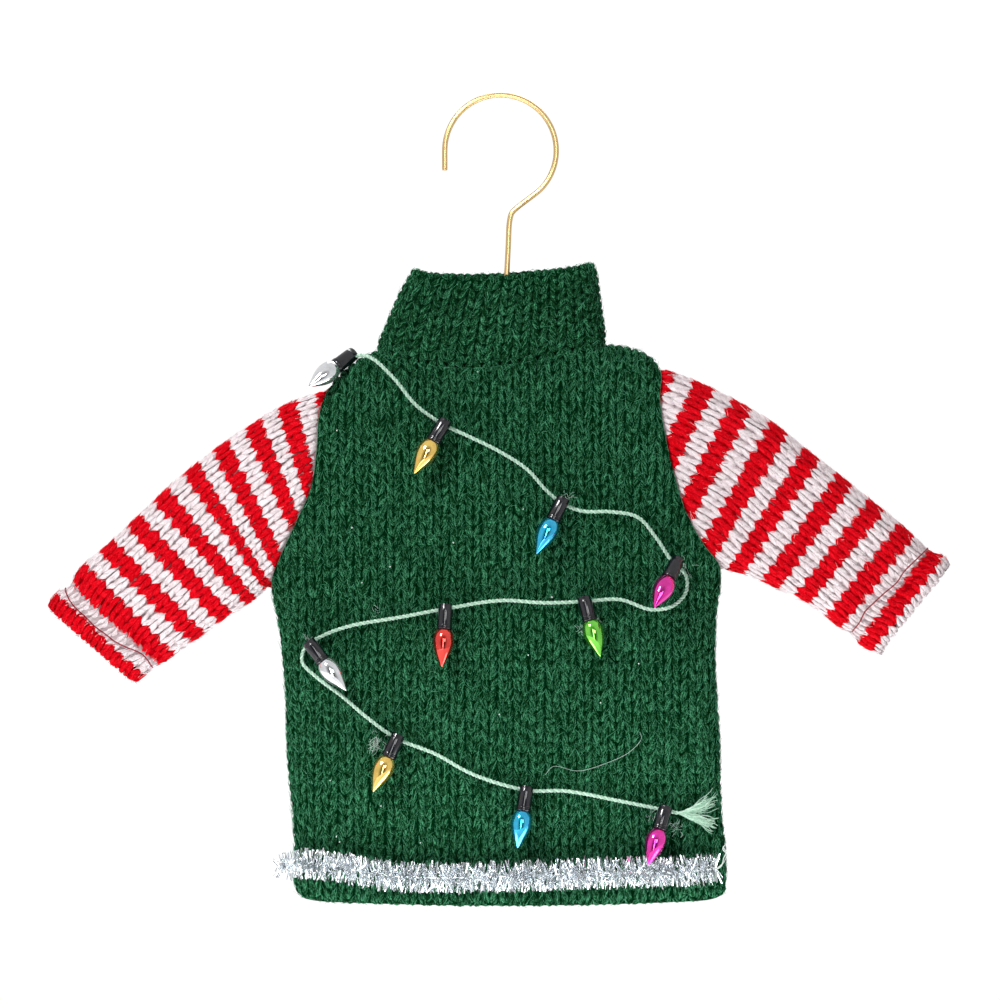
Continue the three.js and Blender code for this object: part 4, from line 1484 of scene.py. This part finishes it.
    def build(self) -> None:
        """Makes the sleeve's shell, knit, fuzz and sewing."""
        cuff = self.table.last
        share_edge = np.array([0, 0.04, 0.16, 0.36, 0.65, 1.0])
        outers, inners, stripes = [], [], []
        for place in np.linspace(-0.25, cuff, self.rows):
            under = max(-place, 0) * 4
            place = max(place, 0)
            row = self.table.at(np.full(26, place))
            if place < 0.5:
                line = BODY_TABLE.edge(
                    self.body_edge, np.linspace(SHOULDER_ROW, UNDERARM_ROW, 26))
                line[:, 0] += self.outward * ARMHOLE_GAP
            length = np.linalg.norm(row.end[0] - row.start[0])
            edge = share_edge * row.depth[0] / length
            share = np.concatenate([
                edge, np.linspace(edge[-1], 1 - edge[-1], 16)[1:-1], (1 - edge)[::-1]])
            flat = row.flat(share)
            if place < 0.5:
                spread = np.stack([
                    np.interp(share, np.linspace(0, 1, 26), line[:, k]) for k in (0, 1)], axis=1)
                flat = spread + (flat - spread) * (place * 2)
                flat[:, 0] -= self.outward * under * 3.0
            ring_outer, ring_inner = [], []
            for sign in (1, -1):
                outer, normal = GARMENT.cover(flat, sign, row.depth, -SHELL_SINK - under * 1.4)
                inner = outer - normal * SHELL_WALL * 0.9
                if sign < 0:
                    outer, inner = outer[::-1][1:-1], inner[::-1][1:-1]
                ring_outer.append(outer)
                ring_inner.append(inner)
            outers.append(np.vstack(ring_outer))
            inners.append(np.vstack(ring_inner))
            stripes.append(np.full(len(outers[-1]), 0.0))
        outer_grid, inner_grid = np.array(outers), np.array(inners)
        stripe = self.stripe_share(outer_grid.reshape(-1, 3)[:, [0, 2]])
        shell = shell_object(
            f"{self.name}_ground", outer_grid, inner_grid, True, self.yarns.striped_backing_gap_shade,
            stripe)
        kept(shell, "striped_knit", self.name)
        knitter = Knitter(
            leg_width=0.262, foot=(0.13, -0.56), head=(0.45, 1.1),
            swell=(0.72, 1.0, 0.92, 0.6, 0.08), leg_height=0.34, sunk=0.3, dip=0.42,
            drops=(1.0, 0.42, 0.06, 0.0, 0.3),
            unit_size=(1.0, 2.2))
        stitches = self.stitches()
        knit = knitter.legs(
            f"{self.name}_knit", self.place, stitches, self.yarns.striped, self.seed)
        kept(knit, "striped_knit")
        fuzz = knitter.fuzz(
            f"{self.name}_fuzz", self.place, stitches, self.yarns.striped_fuzz,
            4500, self.seed + 1)
        kept(fuzz, "striped_knit")
        thread = self.sewing()

    def stripe_share(self, flat: np.ndarray) -> np.ndarray:
        """Whether places of the flat lie in a white stripe."""
        courses = np.arange(-3.0, self.last_course + 1, 0.5)
        top, bottom = self.course_line(courses)
        run = bottom - top
        share = np.einsum("pck,ck->pc", flat[:, None] - top[None], run) / np.sum(run**2, axis=1)
        foot = top[None] + run[None] * np.clip(share, 0, 1)[..., None]
        best = np.argmin(np.sum((foot - flat[:, None]) ** 2, axis=2), axis=1)
        return self.is_white(courses[best])

    def sewing(self) -> bpy.types.Object:
        """The dark thread of the cuff's hem, round the front and the back."""
        bundle = Bundle()
        front = spaced_line(self.cuff_line, 29)
        for sign, seen in ((-1, 0.12), (1, 0.12)):
            for i in range(0, len(front) - 2, 2):
                flat = spaced_line(front[i : i + 3], 7)
                lift = -0.36 + seen * np.sin(np.linspace(0, math.pi, 7)) * 3
                depth = np.full(7, 4.45)
                line, _ = GARMENT.cover(flat, sign, depth, lift)
                bundle.put(*tube(line, 0.13, 6), value=0.5)
        return kept(bundle.piece(f"{self.name}_sewing", self.yarns.red_thread), "striped_knit")


@dataclass
class Collar:
    """The double stand-up collar."""

    yarns: Yarns
    wales: int = 14  # on each side
    course: float = 2.0
    roll: float = 1.35
    inner_courses: int = 4
    seed: int = 71

    def __post_init__(self) -> None:
        """Measures the collar's height up its middle."""
        places = np.linspace(0, COLLAR_TABLE.last, 120)
        middle = COLLAR_TABLE.at(places).flat(np.full(120, 0.5))
        self.heights = np.concatenate(
            [[0], np.cumsum(np.linalg.norm(np.diff(middle, axis=0), axis=1))])
        self.places = places

    def place(self, across: np.ndarray, along: np.ndarray, lift: np.ndarray) -> np.ndarray:
        """Points on the collar.

        Args:
            across: wales round it from the viewer's left fold, first along the front.
            along: the distance up from its seam, over its top and down inside.
            lift: how far the point stands over the cloth.

        Returns:
            The points.
        """
        height = self.heights[-1]
        held = np.clip(along, 0, height)
        place = np.interp(held, self.heights, self.places)
        turns = across % (2 * self.wales)
        front = turns < self.wales
        share = np.where(front, turns, 2 * self.wales - turns) / self.wales
        row = COLLAR_TABLE.at(place)
        row.bow = np.where(
            front, row.bow, row.bow * (BACK_BOW + (0.6 - BACK_BOW) * place / COLLAR_TABLE.last))
        length = np.linalg.norm(row.end - row.start, axis=1)
        full = length + row.depth * (math.pi - 2)
        arc = share * full
        run = np.where(share < 0.5, turned_run(arc, row.depth),
                       length - turned_run(np.maximum(full - arc, 0), row.depth))
        flat = row.flat(np.clip(run / length, 0.0006, 0.9994))
        beyond = np.maximum(along - height, 0)
        angle = np.minimum(beyond / self.roll, math.pi)[:, None]
        inner = np.maximum(beyond - self.roll * math.pi, 0)
        up = np.array([0.0, 0.0, 1.0])
        points = np.empty((len(across), 3))
        for sign in (-1, 1):
            pick = front if sign < 0 else ~front
            outer, normal = COLLAR_FORM.cover(flat[pick], sign, row.depth[pick])
            level = normal.copy()
            level[:, 2] *= 1 - np.clip(angle[pick][:, 0], 0, 1)
            level = unit(level)
            heading = unit(level * np.cos(angle[pick]) + up * np.sin(angle[pick]))
            centre = outer - level * self.roll
            points[pick] = (centre + heading * (self.roll + lift[pick])[:, None]
                            - up * (inner - np.minimum(along, 0))[pick][:, None])
        return points

    def stitches(self) -> Stitches:
        """Where the collar's stitches are, its inner layer's first courses among them."""
        height = self.heights[-1] + self.roll * math.pi + self.inner_courses * self.course
        courses = np.arange(self.course * -0.1, height, self.course)
        wales = np.arange(2 * self.wales) + 0.5
        across, along = (v.ravel() for v in np.meshgrid(wales, courses, indexing="ij"))
        even = np.ones(len(across))
        return Stitches(across, along, even, even * self.course, even * 0)

    def build(self) -> None:
        """Makes the collar's shell, knit and fuzz."""
        rows, columns = 34, 72
        places = np.linspace(0, self.heights[-1] + self.roll * math.pi + 4.0, rows)
        turns = np.arange(columns) / columns * 2 * self.wales
        rings = {0.0: [], 0.62: []}
        for wall, ring in rings.items():
            for height in places:
                sunk = 0.42 + 0.28 * np.clip((self.heights[-1] - height) / 3, 0, 1)
                ring.append(self.place(
                    turns, np.full(columns, height), np.full(columns, -sunk - wall)))
            ring[0][:, 2] -= 0.5
            ring[0][:, 1] *= 0.76
        outer, inner = (np.array(ring) for ring in rings.values())
        shell = shell_object(
            "collar_ground", outer, inner, True, self.yarns.green_backing_gap_shade)
        kept(shell, "green_knit", "collar")
        knitter = Knitter(jitter=0.05, unit_size=(3.4, 1.0))
        stitches = self.stitches()
        knit = knitter.legs(
            "collar_knit", self.place, stitches, self.yarns.green, self.seed)
        kept(knit, "green_knit")
        fuzz = knitter.fuzz(
            "collar_fuzz", self.place, stitches, self.yarns.green_fuzz, 2400, self.seed + 1)
        kept(fuzz, "green_knit")


# Lamps, cord, tinsel and hanger


def turned_form(
    name: str, profile: Sequence[tuple[float, float]], sides: int, material: bpy.types.Material
) -> bpy.types.Object:
    """A turned piece, drawn up ring by ring from a disc in edit mode.

    Args:
        name: the piece's name.
        profile: radius and height of each ring, from the bottom up, in millimetres.
        sides: how many points each ring has.
        material: its finish.

    Returns:
        The piece, standing on the origin along +Z.
    """
    bpy.ops.object.select_all(action="DESELECT")
    radius, height = profile[0]
    bpy.ops.mesh.primitive_circle_add(
        vertices=sides, radius=radius * MM, fill_type="NGON", location=(0, 0, height * MM))
    piece = bpy.context.object
    piece.name = name
    bpy.ops.object.mode_set(mode="EDIT")
    bpy.ops.mesh.select_all(action="SELECT")
    for (before, low), (after, high) in zip(profile, profile[1:]):
        bpy.ops.mesh.extrude_region_move(
            TRANSFORM_OT_translate={"value": (0, 0, (high - low) * MM)})
        bpy.ops.transform.resize(value=(after / before, after / before, 1.0))
    bpy.ops.mesh.select_all(action="SELECT")
    bpy.ops.mesh.normals_make_consistent(inside=False)
    bpy.ops.object.mode_set(mode="OBJECT")
    bpy.ops.object.transform_apply(location=True, rotation=True, scale=True)
    bpy.ops.object.shade_smooth_by_angle(angle=math.radians(38))
    piece.data.materials.append(material)
    return piece


def placed_copy(
    model: bpy.types.Object, name: str, matrix: Matrix, material: bpy.types.Material
) -> bpy.types.Object:
    """A copy of a model with its own mesh, put in place in its points."""
    copy = model.copy()
    copy.data = model.data.copy()
    copy.name = name
    copy.data.name = name
    bpy.context.scene.collection.objects.link(copy)
    copy.data.transform(matrix)
    copy.data.update()
    copy.data.materials.clear()
    copy.data.materials.append(material)
    return copy


@dataclass
class LightString:
    """The pale cord with its ten lamps."""

    cord_radius: float = 0.5
    ply_radius: float = 0.215
    ply_offset: float = 0.23
    ply_pitch: float = 1.6
    plies: int = 2
    steps: int = 2100
    tuft_from: float = 3.2  # how far before its end the cord comes apart
    socket_length: float = 5.5
    lamp_length: float = 13.8
    axis_height: float = 2.05
    lamps: list[bpy.types.Object] = field(default_factory=list)

    def route(self) -> np.ndarray:
        """The middle line of the cord."""
        points = [
            (x, front_face(x, z) - SEAM_GAP - self.cord_radius - lift, z)
            for x, z, lift in CORD_ROUTE]
        return spaced_line(points, self.steps)

    def lamp_matrix(self, lamp: Sequence) -> Matrix:
        """Where a lamp's socket top is and which way the lamp points, in metres."""
        top_x, top_z, tip_x, tip_z, lean, _, back = lamp
        flat = Vector((tip_x - top_x, 0, tip_z - top_z)).normalized()
        angle = math.radians(lean)
        axis = flat * math.cos(angle) + Vector((0, -math.sin(angle), 0))
        belly = front_face(mix(top_x, tip_x, 0.55), mix(top_z, tip_z, 0.55))
        y = min(front_face(top_x, top_z), belly) - self.axis_height + back
        turn = axis.to_track_quat("Z", "Y").to_matrix().to_4x4()
        return Matrix.Translation(Vector((top_x, y, top_z)) * MM) @ turn

    def build_lamps(self) -> None:
        """Makes the sockets and bulbs."""
        black = PlasticFinish("black_plastic", (0.002, 0.002, 0.005), (0.008, 0.008, 0.014)).dress()
        lacquers = {
            "silver": ((0.80, 0.81, 0.83), (0.45, 0.47, 0.50)),
            "gold": ((0.90, 0.62, 0.14), (0.55, 0.30, 0.03)),
            "blue": ((0.02, 0.55, 0.86), (0.0, 0.18, 0.45)),
            "magenta": ((0.86, 0.02, 0.42), (0.45, 0.0, 0.18)),
            "red": ((0.90, 0.05, 0.03), (0.45, 0.0, 0.0)),
            "green": ((0.20, 0.75, 0.06), (0.03, 0.35, 0.01)),
        }
        finishes = {
            key: LacquerFinish(f"{key}_lacquer", *tones).dress()
            for key, tones in lacquers.items()}
        socket = turned_form("socket_model", (
            (0.90, 0.06), (1.25, 0.0), (1.45, 0.08), (1.50, 0.28), (1.50, 0.90), (1.54, 0.98),
            (1.60, 1.06), (1.62, 1.22), (1.61, 4.45), (1.58, 4.56), (1.71, 4.66),
            (1.74, 4.82), (1.71, 4.98), (1.61, 5.04), (1.61, 5.10), (1.72, 5.18),
            (1.74, 5.34), (1.66, 5.50), (1.42, 5.52), (1.30, 5.40), (1.1, 5.40),
        ), 32, black)
        bulb = turned_form("bulb_model", (
            (1.0, 5.42), (1.30, 5.42), (1.44, 5.58), (1.68, 5.85), (1.93, 6.25), (2.13, 6.75),
            (2.26, 7.35), (2.31, 8.00), (2.27, 8.70), (2.13, 9.45), (1.90, 10.20),
            (1.62, 10.90), (1.30, 11.55), (1.00, 12.15), (0.72, 12.70), (0.48, 13.15),
            (0.28, 13.50), (0.12, 13.72), (0.03, 13.80),
        ), 32, finishes["silver"])
        for index, lamp in enumerate(LAMPS):
            matrix = self.lamp_matrix(lamp)
            number = f"{index + 1:02d}"
            base = placed_copy(socket, f"lamp_socket_{number}", matrix, black)
            glass = placed_copy(bulb, f"lamp_bulb_{number}", matrix, finishes[lamp[5]])
            kept(base, "black_plastic", f"socket_{number}")
            kept(glass, f"bulb_{lamp[5]}", f"bulb_{number}")
            self.lamps += [base, glass]
        for model in (socket, bulb):
            bpy.data.objects.remove(model)

    def build_cord(self) -> None:
        """Makes the twisted cord with its frayed end."""
        pale = ThreadFinish("pale_cord", (0.18, 0.36, 0.25), (0.60, 0.78, 0.66), 0.7).dress()
        line = self.route()
        length = float(np.sum(np.linalg.norm(np.diff(line, axis=0), axis=1)))
        side, up = frames_along(line)
        bundle = Bundle()
        twisted = int(self.steps * (1 - self.tuft_from / length))
        for ply in range(self.plies):
            turn = (np.linspace(0, length, self.steps) / self.ply_pitch
                    + ply / self.plies) * 2 * math.pi
            strand = line + self.ply_offset * (
                np.cos(turn)[:, None] * side + np.sin(turn)[:, None] * up)
            # The second ply gets a lower tone: painted shade that makes the twist's grooves read as
            # dark diagonal lines
            bundle.put(*tube(strand[:twisted], self.ply_radius, 6), value=0.9 - 0.6 * ply)
        cord = bundle.piece("twisted_cord", pale)
        kept(cord, "pale_cord", "light_cord")
        tuft = self.frayed_end(line[twisted], unit(line[-1] - line[twisted]), pale)
        LOG.info("cord length %.1f mm", length)

    def frayed_end(
        self, end: np.ndarray, heading: np.ndarray, material: bpy.types.Material
    ) -> bpy.types.Object:
        """The tuft of loose plies at the cord's cut end."""
        rng = np.random.default_rng(5)
        bundle = Bundle()
        steps = np.linspace(0, 1, 12)[:, None]
        for index in range(108):
            prong = (0.5, -0.08, rng.uniform(0, 0.42))[index % 3]
            angle = rng.normal(0, 0.09) + prong
            flat = np.array([
                heading[0] * math.cos(angle) - heading[2] * math.sin(angle), 0,
                heading[0] * math.sin(angle) + heading[2] * math.cos(angle)])
            reach = rng.uniform(6.8, 9.6) * (0.72 if index % 3 == 2 else 1.0)
            lock, phase = int(rng.integers(0, 5)), rng.normal(0, 0.35)
            square = np.array([-flat[2], 0, flat[0]])
            wave = square * 0.3 * np.sin(steps * 11 + lock * 1.3 + phase) * steps**0.7
            spread = (steps + 0.12) ** 1.25
            away = heading * steps + (flat - heading) * spread * steps**0.35
            across = square * rng.normal(0, 0.32) * steps**1.5
            line = (end - heading * 0.5 + away * reach + across + wave
                    + np.array([0, -1, 0]) * (0.3 * np.sin(steps * 2.6)
                                              + rng.uniform(-0.25, 0.45) * steps))
            bundle.put(*tube(line, np.linspace(0.13, 0.05, 12), 4), value=rng.uniform() ** 1.6)
        return kept(bundle.piece("cord_tuft", material), "pale_cord")


@dataclass
class Leftovers:
    """What the making left on the front: lint, wisps of glue and a stray hair."""

    seed: int = 91
    # x, z, reach of the patch, number of strands
    wisps: Sequence[tuple[float, float, float, int]] = (
        (-27.4, -142.2, 1.9, 34), (14.8, -88.2, 1.3, 16), (40.6, -104.0, 1.8, 14),
        (38.6, -160.8, 1.5, 18), (33.2, -158.0, 1.0, 10), (17.6, -117.2, 1.1, 12),
        (-27.2, -113.6, 1.2, 5), (21.6, -115.4, 0.9, 7), (-42.6, -119.6, 1.0, 10),
    )
    specks: Sequence[tuple[float, float]] = (
        (-24.3, -103.5), (-30.5, -107.0), (-32.7, -94.9), (-26.3, -156.1), (5.0, -90.8),
        (6.1, -122.9), (-0.3, -136.0), (11.3, -110.2), (-37.5, -150.5), (22.0, -133.4),
        (-36.1, -162.8), (-35.4, -164.0), (-10.4, -98.2), (30.4, -124.8), (-17.6, -164.2), (-36.0, -73.5), (-5.0, -60.6),
    )
    hairs: Sequence[Sequence[tuple[float, float]]] = (
        ((9.8, -149.3), (11.6, -147.4), (17.0, -148.4), (23.5, -146.6), (28.4, -144.2),
         (31.0, -141.2), (30.6, -139.8)),
        ((47.4, -169.9), (48.9, -168.6), (49.5, -166.9), (48.7, -165.6), (49.4, -164.6)),
        ((46.9, -170.3), (48.4, -169.4), (48.9, -167.8), (49.4, -166.4), (48.9, -165.4)),
    )

    def over(self, flat: np.ndarray, lift: np.ndarray | float) -> np.ndarray:
        """Points over the front cloth."""
        return GARMENT.cover(flat, -1, 5.0, lift)[0]

    def build(self, lint: bpy.types.Material) -> None:
        """Makes the strands and specks as one piece."""
        rng = np.random.default_rng(self.seed)
        bundle = Bundle()
        for x, z, reach, count in self.wisps:
            for _ in range(count):
                start = np.array([x, z]) + rng.normal(0, reach * 0.45, 2)
                turn = rng.uniform(0, 2 * math.pi) + rng.normal(0, 1.6) * np.linspace(0, 1, 7)
                run = np.cumsum(np.stack([np.cos(turn), np.sin(turn)], axis=1), axis=0)
                flat = start + run * reach * rng.uniform(0.08, 0.2)
                lift = rng.uniform(0.1, 0.9) * np.sin(np.linspace(0.2, 2.8, 7)) + 0.05
                bundle.put(*tube(self.over(flat, lift), 0.034, 4), value=rng.uniform() ** 2)
        for x, z in self.specks:
            turn = rng.uniform(0, math.pi)
            run = np.array([math.cos(turn), math.sin(turn)]) * rng.uniform(0.08, 0.2)
            flat = np.array([x, z]) + run * np.linspace(-1, 1, 5)[:, None]
            bundle.put(*tube(self.over(flat, 0.15), rng.uniform(0.1, 0.18), 5), value=1.0)
        for number, hair in enumerate(self.hairs):
            line = self.over(spaced_line(hair, 40), 0.3)
            bundle.put(*tube(line, 0.12 if number else 0.035, 4), value=0.8 if number else 0.3)
        kept(bundle.piece("lint_and_glue", lint), "pale_cord")


@dataclass
class Hanger:
    """The wire hook and the bowed shoulder wire."""

    radius: float = 0.6
    hook_radius: float = 12.3
    tip_length: float = 4.6
    end_angle: float = -44.0
    point_angle: float = 7.0

    def build(self) -> None:
        """Makes the wire."""
        gold = MetalFinish("gold_wire", (0.66, 0.46, 0.21), (0.70, 0.50, 0.24), 0.24, 90).dress()
        centre = self.radius - self.hook_radius
        steps = int(round((180 - self.end_angle) / self.point_angle))
        arc = [math.radians(mix(180, self.end_angle, i / steps)) for i in range(steps + 1)]
        points = [
            (-self.hook_radius, 0, centre - self.tip_length),
            (-self.hook_radius, 0, centre - self.tip_length / 2),
            *((self.hook_radius * math.cos(a), 0, centre + self.hook_radius * math.sin(a))
              for a in arc),
            *((x, 0, z) for x, z in HOOK_STEM),
        ]
        hook = self.wire("hanger_hook", points, 260, gold)
        arms = self.wire("hanger_arms", [(x, 0, z) for x, z in SHOULDER_WIRE], 90, gold)
        kept(hook, "gold_wire", "hanger")
        kept(arms, "gold_wire", "hanger")

    def wire(
        self, name: str, points: Sequence[Sequence[float]], count: int,
        material: bpy.types.Material,
    ) -> bpy.types.Object:
        """A length of wire with slightly rounded ends."""
        line = spaced_line(points, count)
        radius = np.full(count, self.radius)
        radius[[0, -1]] = self.radius * 0.72
        radius[[1, -2]] = self.radius * 0.95
        line[0] = line[1] + (line[0] - line[1]) * 0.4
        line[-1] = line[-2] + (line[-1] - line[-2]) * 0.4
        points_out, faces = tube(line, radius, 20)
        return mesh_object(name, points_out, faces, material)


@dataclass
class Tinsel:
    """A strand of cut foil on a thin core."""

    core_radius: float = 0.1
    height: float = 2.0
    blades: int = 2250
    reach: float = 3.7
    blade_width: float = 0.27
    blade_thickness: float = 0.035
    seed: int = 31

    def build(self) -> None:
        """Makes the core and its blades."""
        rng = np.random.default_rng(self.seed)
        foil = MetalFinish("silver_foil", (0.70, 0.735, 0.76), (0.86, 0.89, 0.91), 0.15, 900).dress()
        route = [(x, min(front_face(x, z), -2.4) - self.height, z) for x, z in TINSEL_ROUTE]
        line = spaced_line(route, 400)
        bundle = Bundle()
        bundle.put(*tube(line, self.core_radius, 8), value=0.4)
        at = np.sort(rng.uniform(0, 1, self.blades))
        root = np.stack([np.interp(at, np.linspace(0, 1, 400), line[:, k]) for k in range(3)], 1)
        turn = rng.uniform(-118, 118, self.blades)
        angle = np.radians(turn)
        lean = rng.normal(0, 0.3, self.blades) - 0.5 * np.exp(-at / 0.012)
        out = unit(np.stack([lean, -np.cos(angle), np.sin(angle)], axis=1))
        reach = self.reach * rng.uniform(0.76, 1.04, self.blades)
        reach *= np.clip(0.6 + at / 0.08, 0, 1)
        curl = rng.normal(0, 0.08, (self.blades, 3))
        steps = np.array([0.0, 0.5, 1.0])
        flat = unit(np.cross(out, rng.normal(0, 1, (self.blades, 3))))
        thin = np.cross(out, flat)
        middle = (root[:, None] + out[:, None] * (reach[:, None] * steps[None])[..., None]
                  + curl[:, None] * (steps[None] ** 2)[..., None])
        w, t = self.blade_width / 2, self.blade_thickness / 2
        corner = np.array([(-w, -t), (w, -t), (w, t), (-w, t)])
        ring = (flat[:, None, None] * corner[None, None, :, 0, None]
                + thin[:, None, None] * corner[None, None, :, 1, None])
        points = (middle[:, :, None] + ring).reshape(-1, 3)
        first = (np.arange(self.blades) * 12)[:, None, None]
        body = (tube_faces(3, 4)[None] + first).reshape(-1, 4)
        caps = (np.array([[3, 2, 1, 0], [8, 9, 10, 11]])[None] + first).reshape(-1, 4)
        blades = mesh_object(
            "tinsel_foil", points, np.vstack([body, caps]), foil, smooth=False)
        core = bundle.piece("tinsel_core", foil)
        kept(blades, "silver_foil", "tinsel")
        kept(core, "silver_foil", "tinsel")


# The studio


@dataclass
class Studio:
    """The camera, the lights and the pale floor."""

    middle: tuple[float, float] = (-0.11, -88.8)
    width: float = 220.0
    distance: float = 1.6
    floor_z: float = -0.26
    ambience: float = 0.46
    gloss_lift: float = 0.75  # how much brighter the surroundings are in reflections

    def build_camera(self) -> None:
        """Makes the long-lens camera that looks square at the front."""
        data = bpy.data.cameras.new("camera")
        data.sensor_width = 36.0
        front = 0.005
        data.lens = 36.0 * (self.distance - front) / (self.width * MM)
        camera = bpy.data.objects.new("camera", data)
        bpy.context.scene.collection.objects.link(camera)
        camera.location = (self.middle[0] * MM, -self.distance, self.middle[1] * MM)
        camera.rotation_euler = (math.pi / 2, 0, 0)
        bpy.context.scene.camera = camera

    def build_light(self) -> None:
        """Makes the soft lights, the bright surroundings and the floor."""
        for name, place, size, tall, power in (
            ("key_light", (-0.48, -0.62, 0.52), 0.24, 0.24, 9.6),
            ("strip_light", (-0.06, -1.25, -0.1), 0.16, 0.9, 4.0),
            ("fill_light", (0.3, -1.2, 0.1), 0.3, 0.3, 2.0),
            ("low_light", (-0.14, -0.3, -0.42), 0.4, 0.3, 2.5),
            ("hem_light", (0.0, -0.05, -0.225), 0.26, 0.04, 0.22),
            ("rim_light", (0.1, 0.6, 0.5), 0.5, 0.5, 5.0),
        ):
            data = bpy.data.lights.new(name, "AREA")
            data.shape = "RECTANGLE"
            data.size = size
            data.size_y = tall
            data.energy = power
            lamp = bpy.data.objects.new(name, data)
            bpy.context.scene.collection.objects.link(lamp)
            lamp.location = place
            lamp.visible_diffuse = name != "strip_light"
            aim = Vector((0, 0, -0.09)) - Vector(place)
            lamp.rotation_euler = aim.to_track_quat("-Z", "Y").to_euler()
        world = bpy.data.worlds.new("studio_world")
        bpy.context.scene.world = world
        world.use_nodes = True
        tree = world.node_tree
        tree.nodes.clear()
        output = tree.nodes.new("ShaderNodeOutputWorld")
        seen, lit = tree.nodes.new("ShaderNodeBackground"), tree.nodes.new("ShaderNodeBackground")
        seen.inputs["Color"].default_value = (1, 1, 1, 1)
        seen.inputs["Strength"].default_value = 1.04
        lit.inputs["Color"].default_value = (1, 1, 1, 1)
        way = tree.nodes.new("ShaderNodeSeparateXYZ")
        tree.links.new(tree.nodes.new("ShaderNodeTexCoord").outputs["Generated"], way.inputs[0])
        shade = tree.nodes.new("ShaderNodeMapRange")
        for socket, value in (("From Min", -0.95), ("From Max", -0.72), ("To Min", 0.04),
                              ("To Max", self.ambience)):
            shade.inputs[socket].default_value = value
        tree.links.new(way.outputs["Y"], shade.inputs["Value"])
        rays = tree.nodes.new("ShaderNodeLightPath")
        raised = tree.nodes.new("ShaderNodeMath")
        raised.operation = "MULTIPLY_ADD"
        raised.inputs[1].default_value = self.gloss_lift
        raised.inputs[2].default_value = 1.0
        tree.links.new(rays.outputs["Is Glossy Ray"], raised.inputs[0])
        strength = tree.nodes.new("ShaderNodeMath")
        strength.operation = "MULTIPLY"
        tree.links.new(shade.outputs[0], strength.inputs[0])
        tree.links.new(raised.outputs[0], strength.inputs[1])
        tree.links.new(strength.outputs[0], lit.inputs["Strength"])
        join = tree.nodes.new("ShaderNodeMixShader")
        tree.links.new(rays.outputs["Is Camera Ray"], join.inputs[0])
        tree.links.new(lit.outputs[0], join.inputs[1])
        tree.links.new(seen.outputs[0], join.inputs[2])
        tree.links.new(join.outputs[0], output.inputs["Surface"])
        bpy.context.scene.view_settings.view_transform = "Standard"
        bpy.ops.object.select_all(action="DESELECT")
        bpy.ops.mesh.primitive_circle_add(
            vertices=96, radius=0.45, fill_type="NGON", location=(0, 0.15, self.floor_z))
        floor = bpy.context.object
        floor.name = "studio_floor"
        bpy.ops.object.transform_apply(location=True, rotation=True, scale=True)
        floor.data.materials.append(StudioFinish("pale_floor", (0.9, 0.9, 0.9)).dress())


def main() -> None:
    """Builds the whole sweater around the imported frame."""
    logging.basicConfig(level=logging.INFO, format="%(name)s: %(message)s")
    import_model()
    studio = Studio()
    studio.build_camera()
    lights = LightString()
    lights.build_lamps()
    lights.build_cord()
    yarns = Yarns()
    BodyPanel(Side.FRONT, yarns, seed=11, fibres=20000).build()
    BodyPanel(Side.BACK, yarns, seed=21).build()
    Sleeve(
        "sleeve_right", RIGHT_SLEEVE_TABLE, RIGHT_STRIPES, -1, "start", 36.0,
        ((-96.2, -107.9), (-95.2, -110.3), (-93.6, -112.5), (-91.4, -114.5), (-89.2, -116.7),
         (-87.0, -118.3), (-84.8, -120.0), (-82.6, -121.1), (-78.7, -122.9), (-76.5, -126.0)),
        (0.088, 0.058), yarns, 41, 0.45).build()
    Sleeve(
        "sleeve_left", LEFT_SLEEVE_TABLE, LEFT_STRIPES, 1, "end", 33.4,
        ((94.5, -99.1), (91.2, -102.2), (88.8, -104.6), (87.2, -107.0), (84.6, -109.2),
         (81.9, -111.7), (80.2, -113.4), (79.1, -115.6), (77.3, -118.0)),
        (0.088, 0.058), yarns, 51).build()
    Collar(yarns).build()
    Leftovers().build(yarns.lint)
    Hanger().build()
    Tinsel().build()
    studio.build_light()


if __name__ == "__main__":
    main()
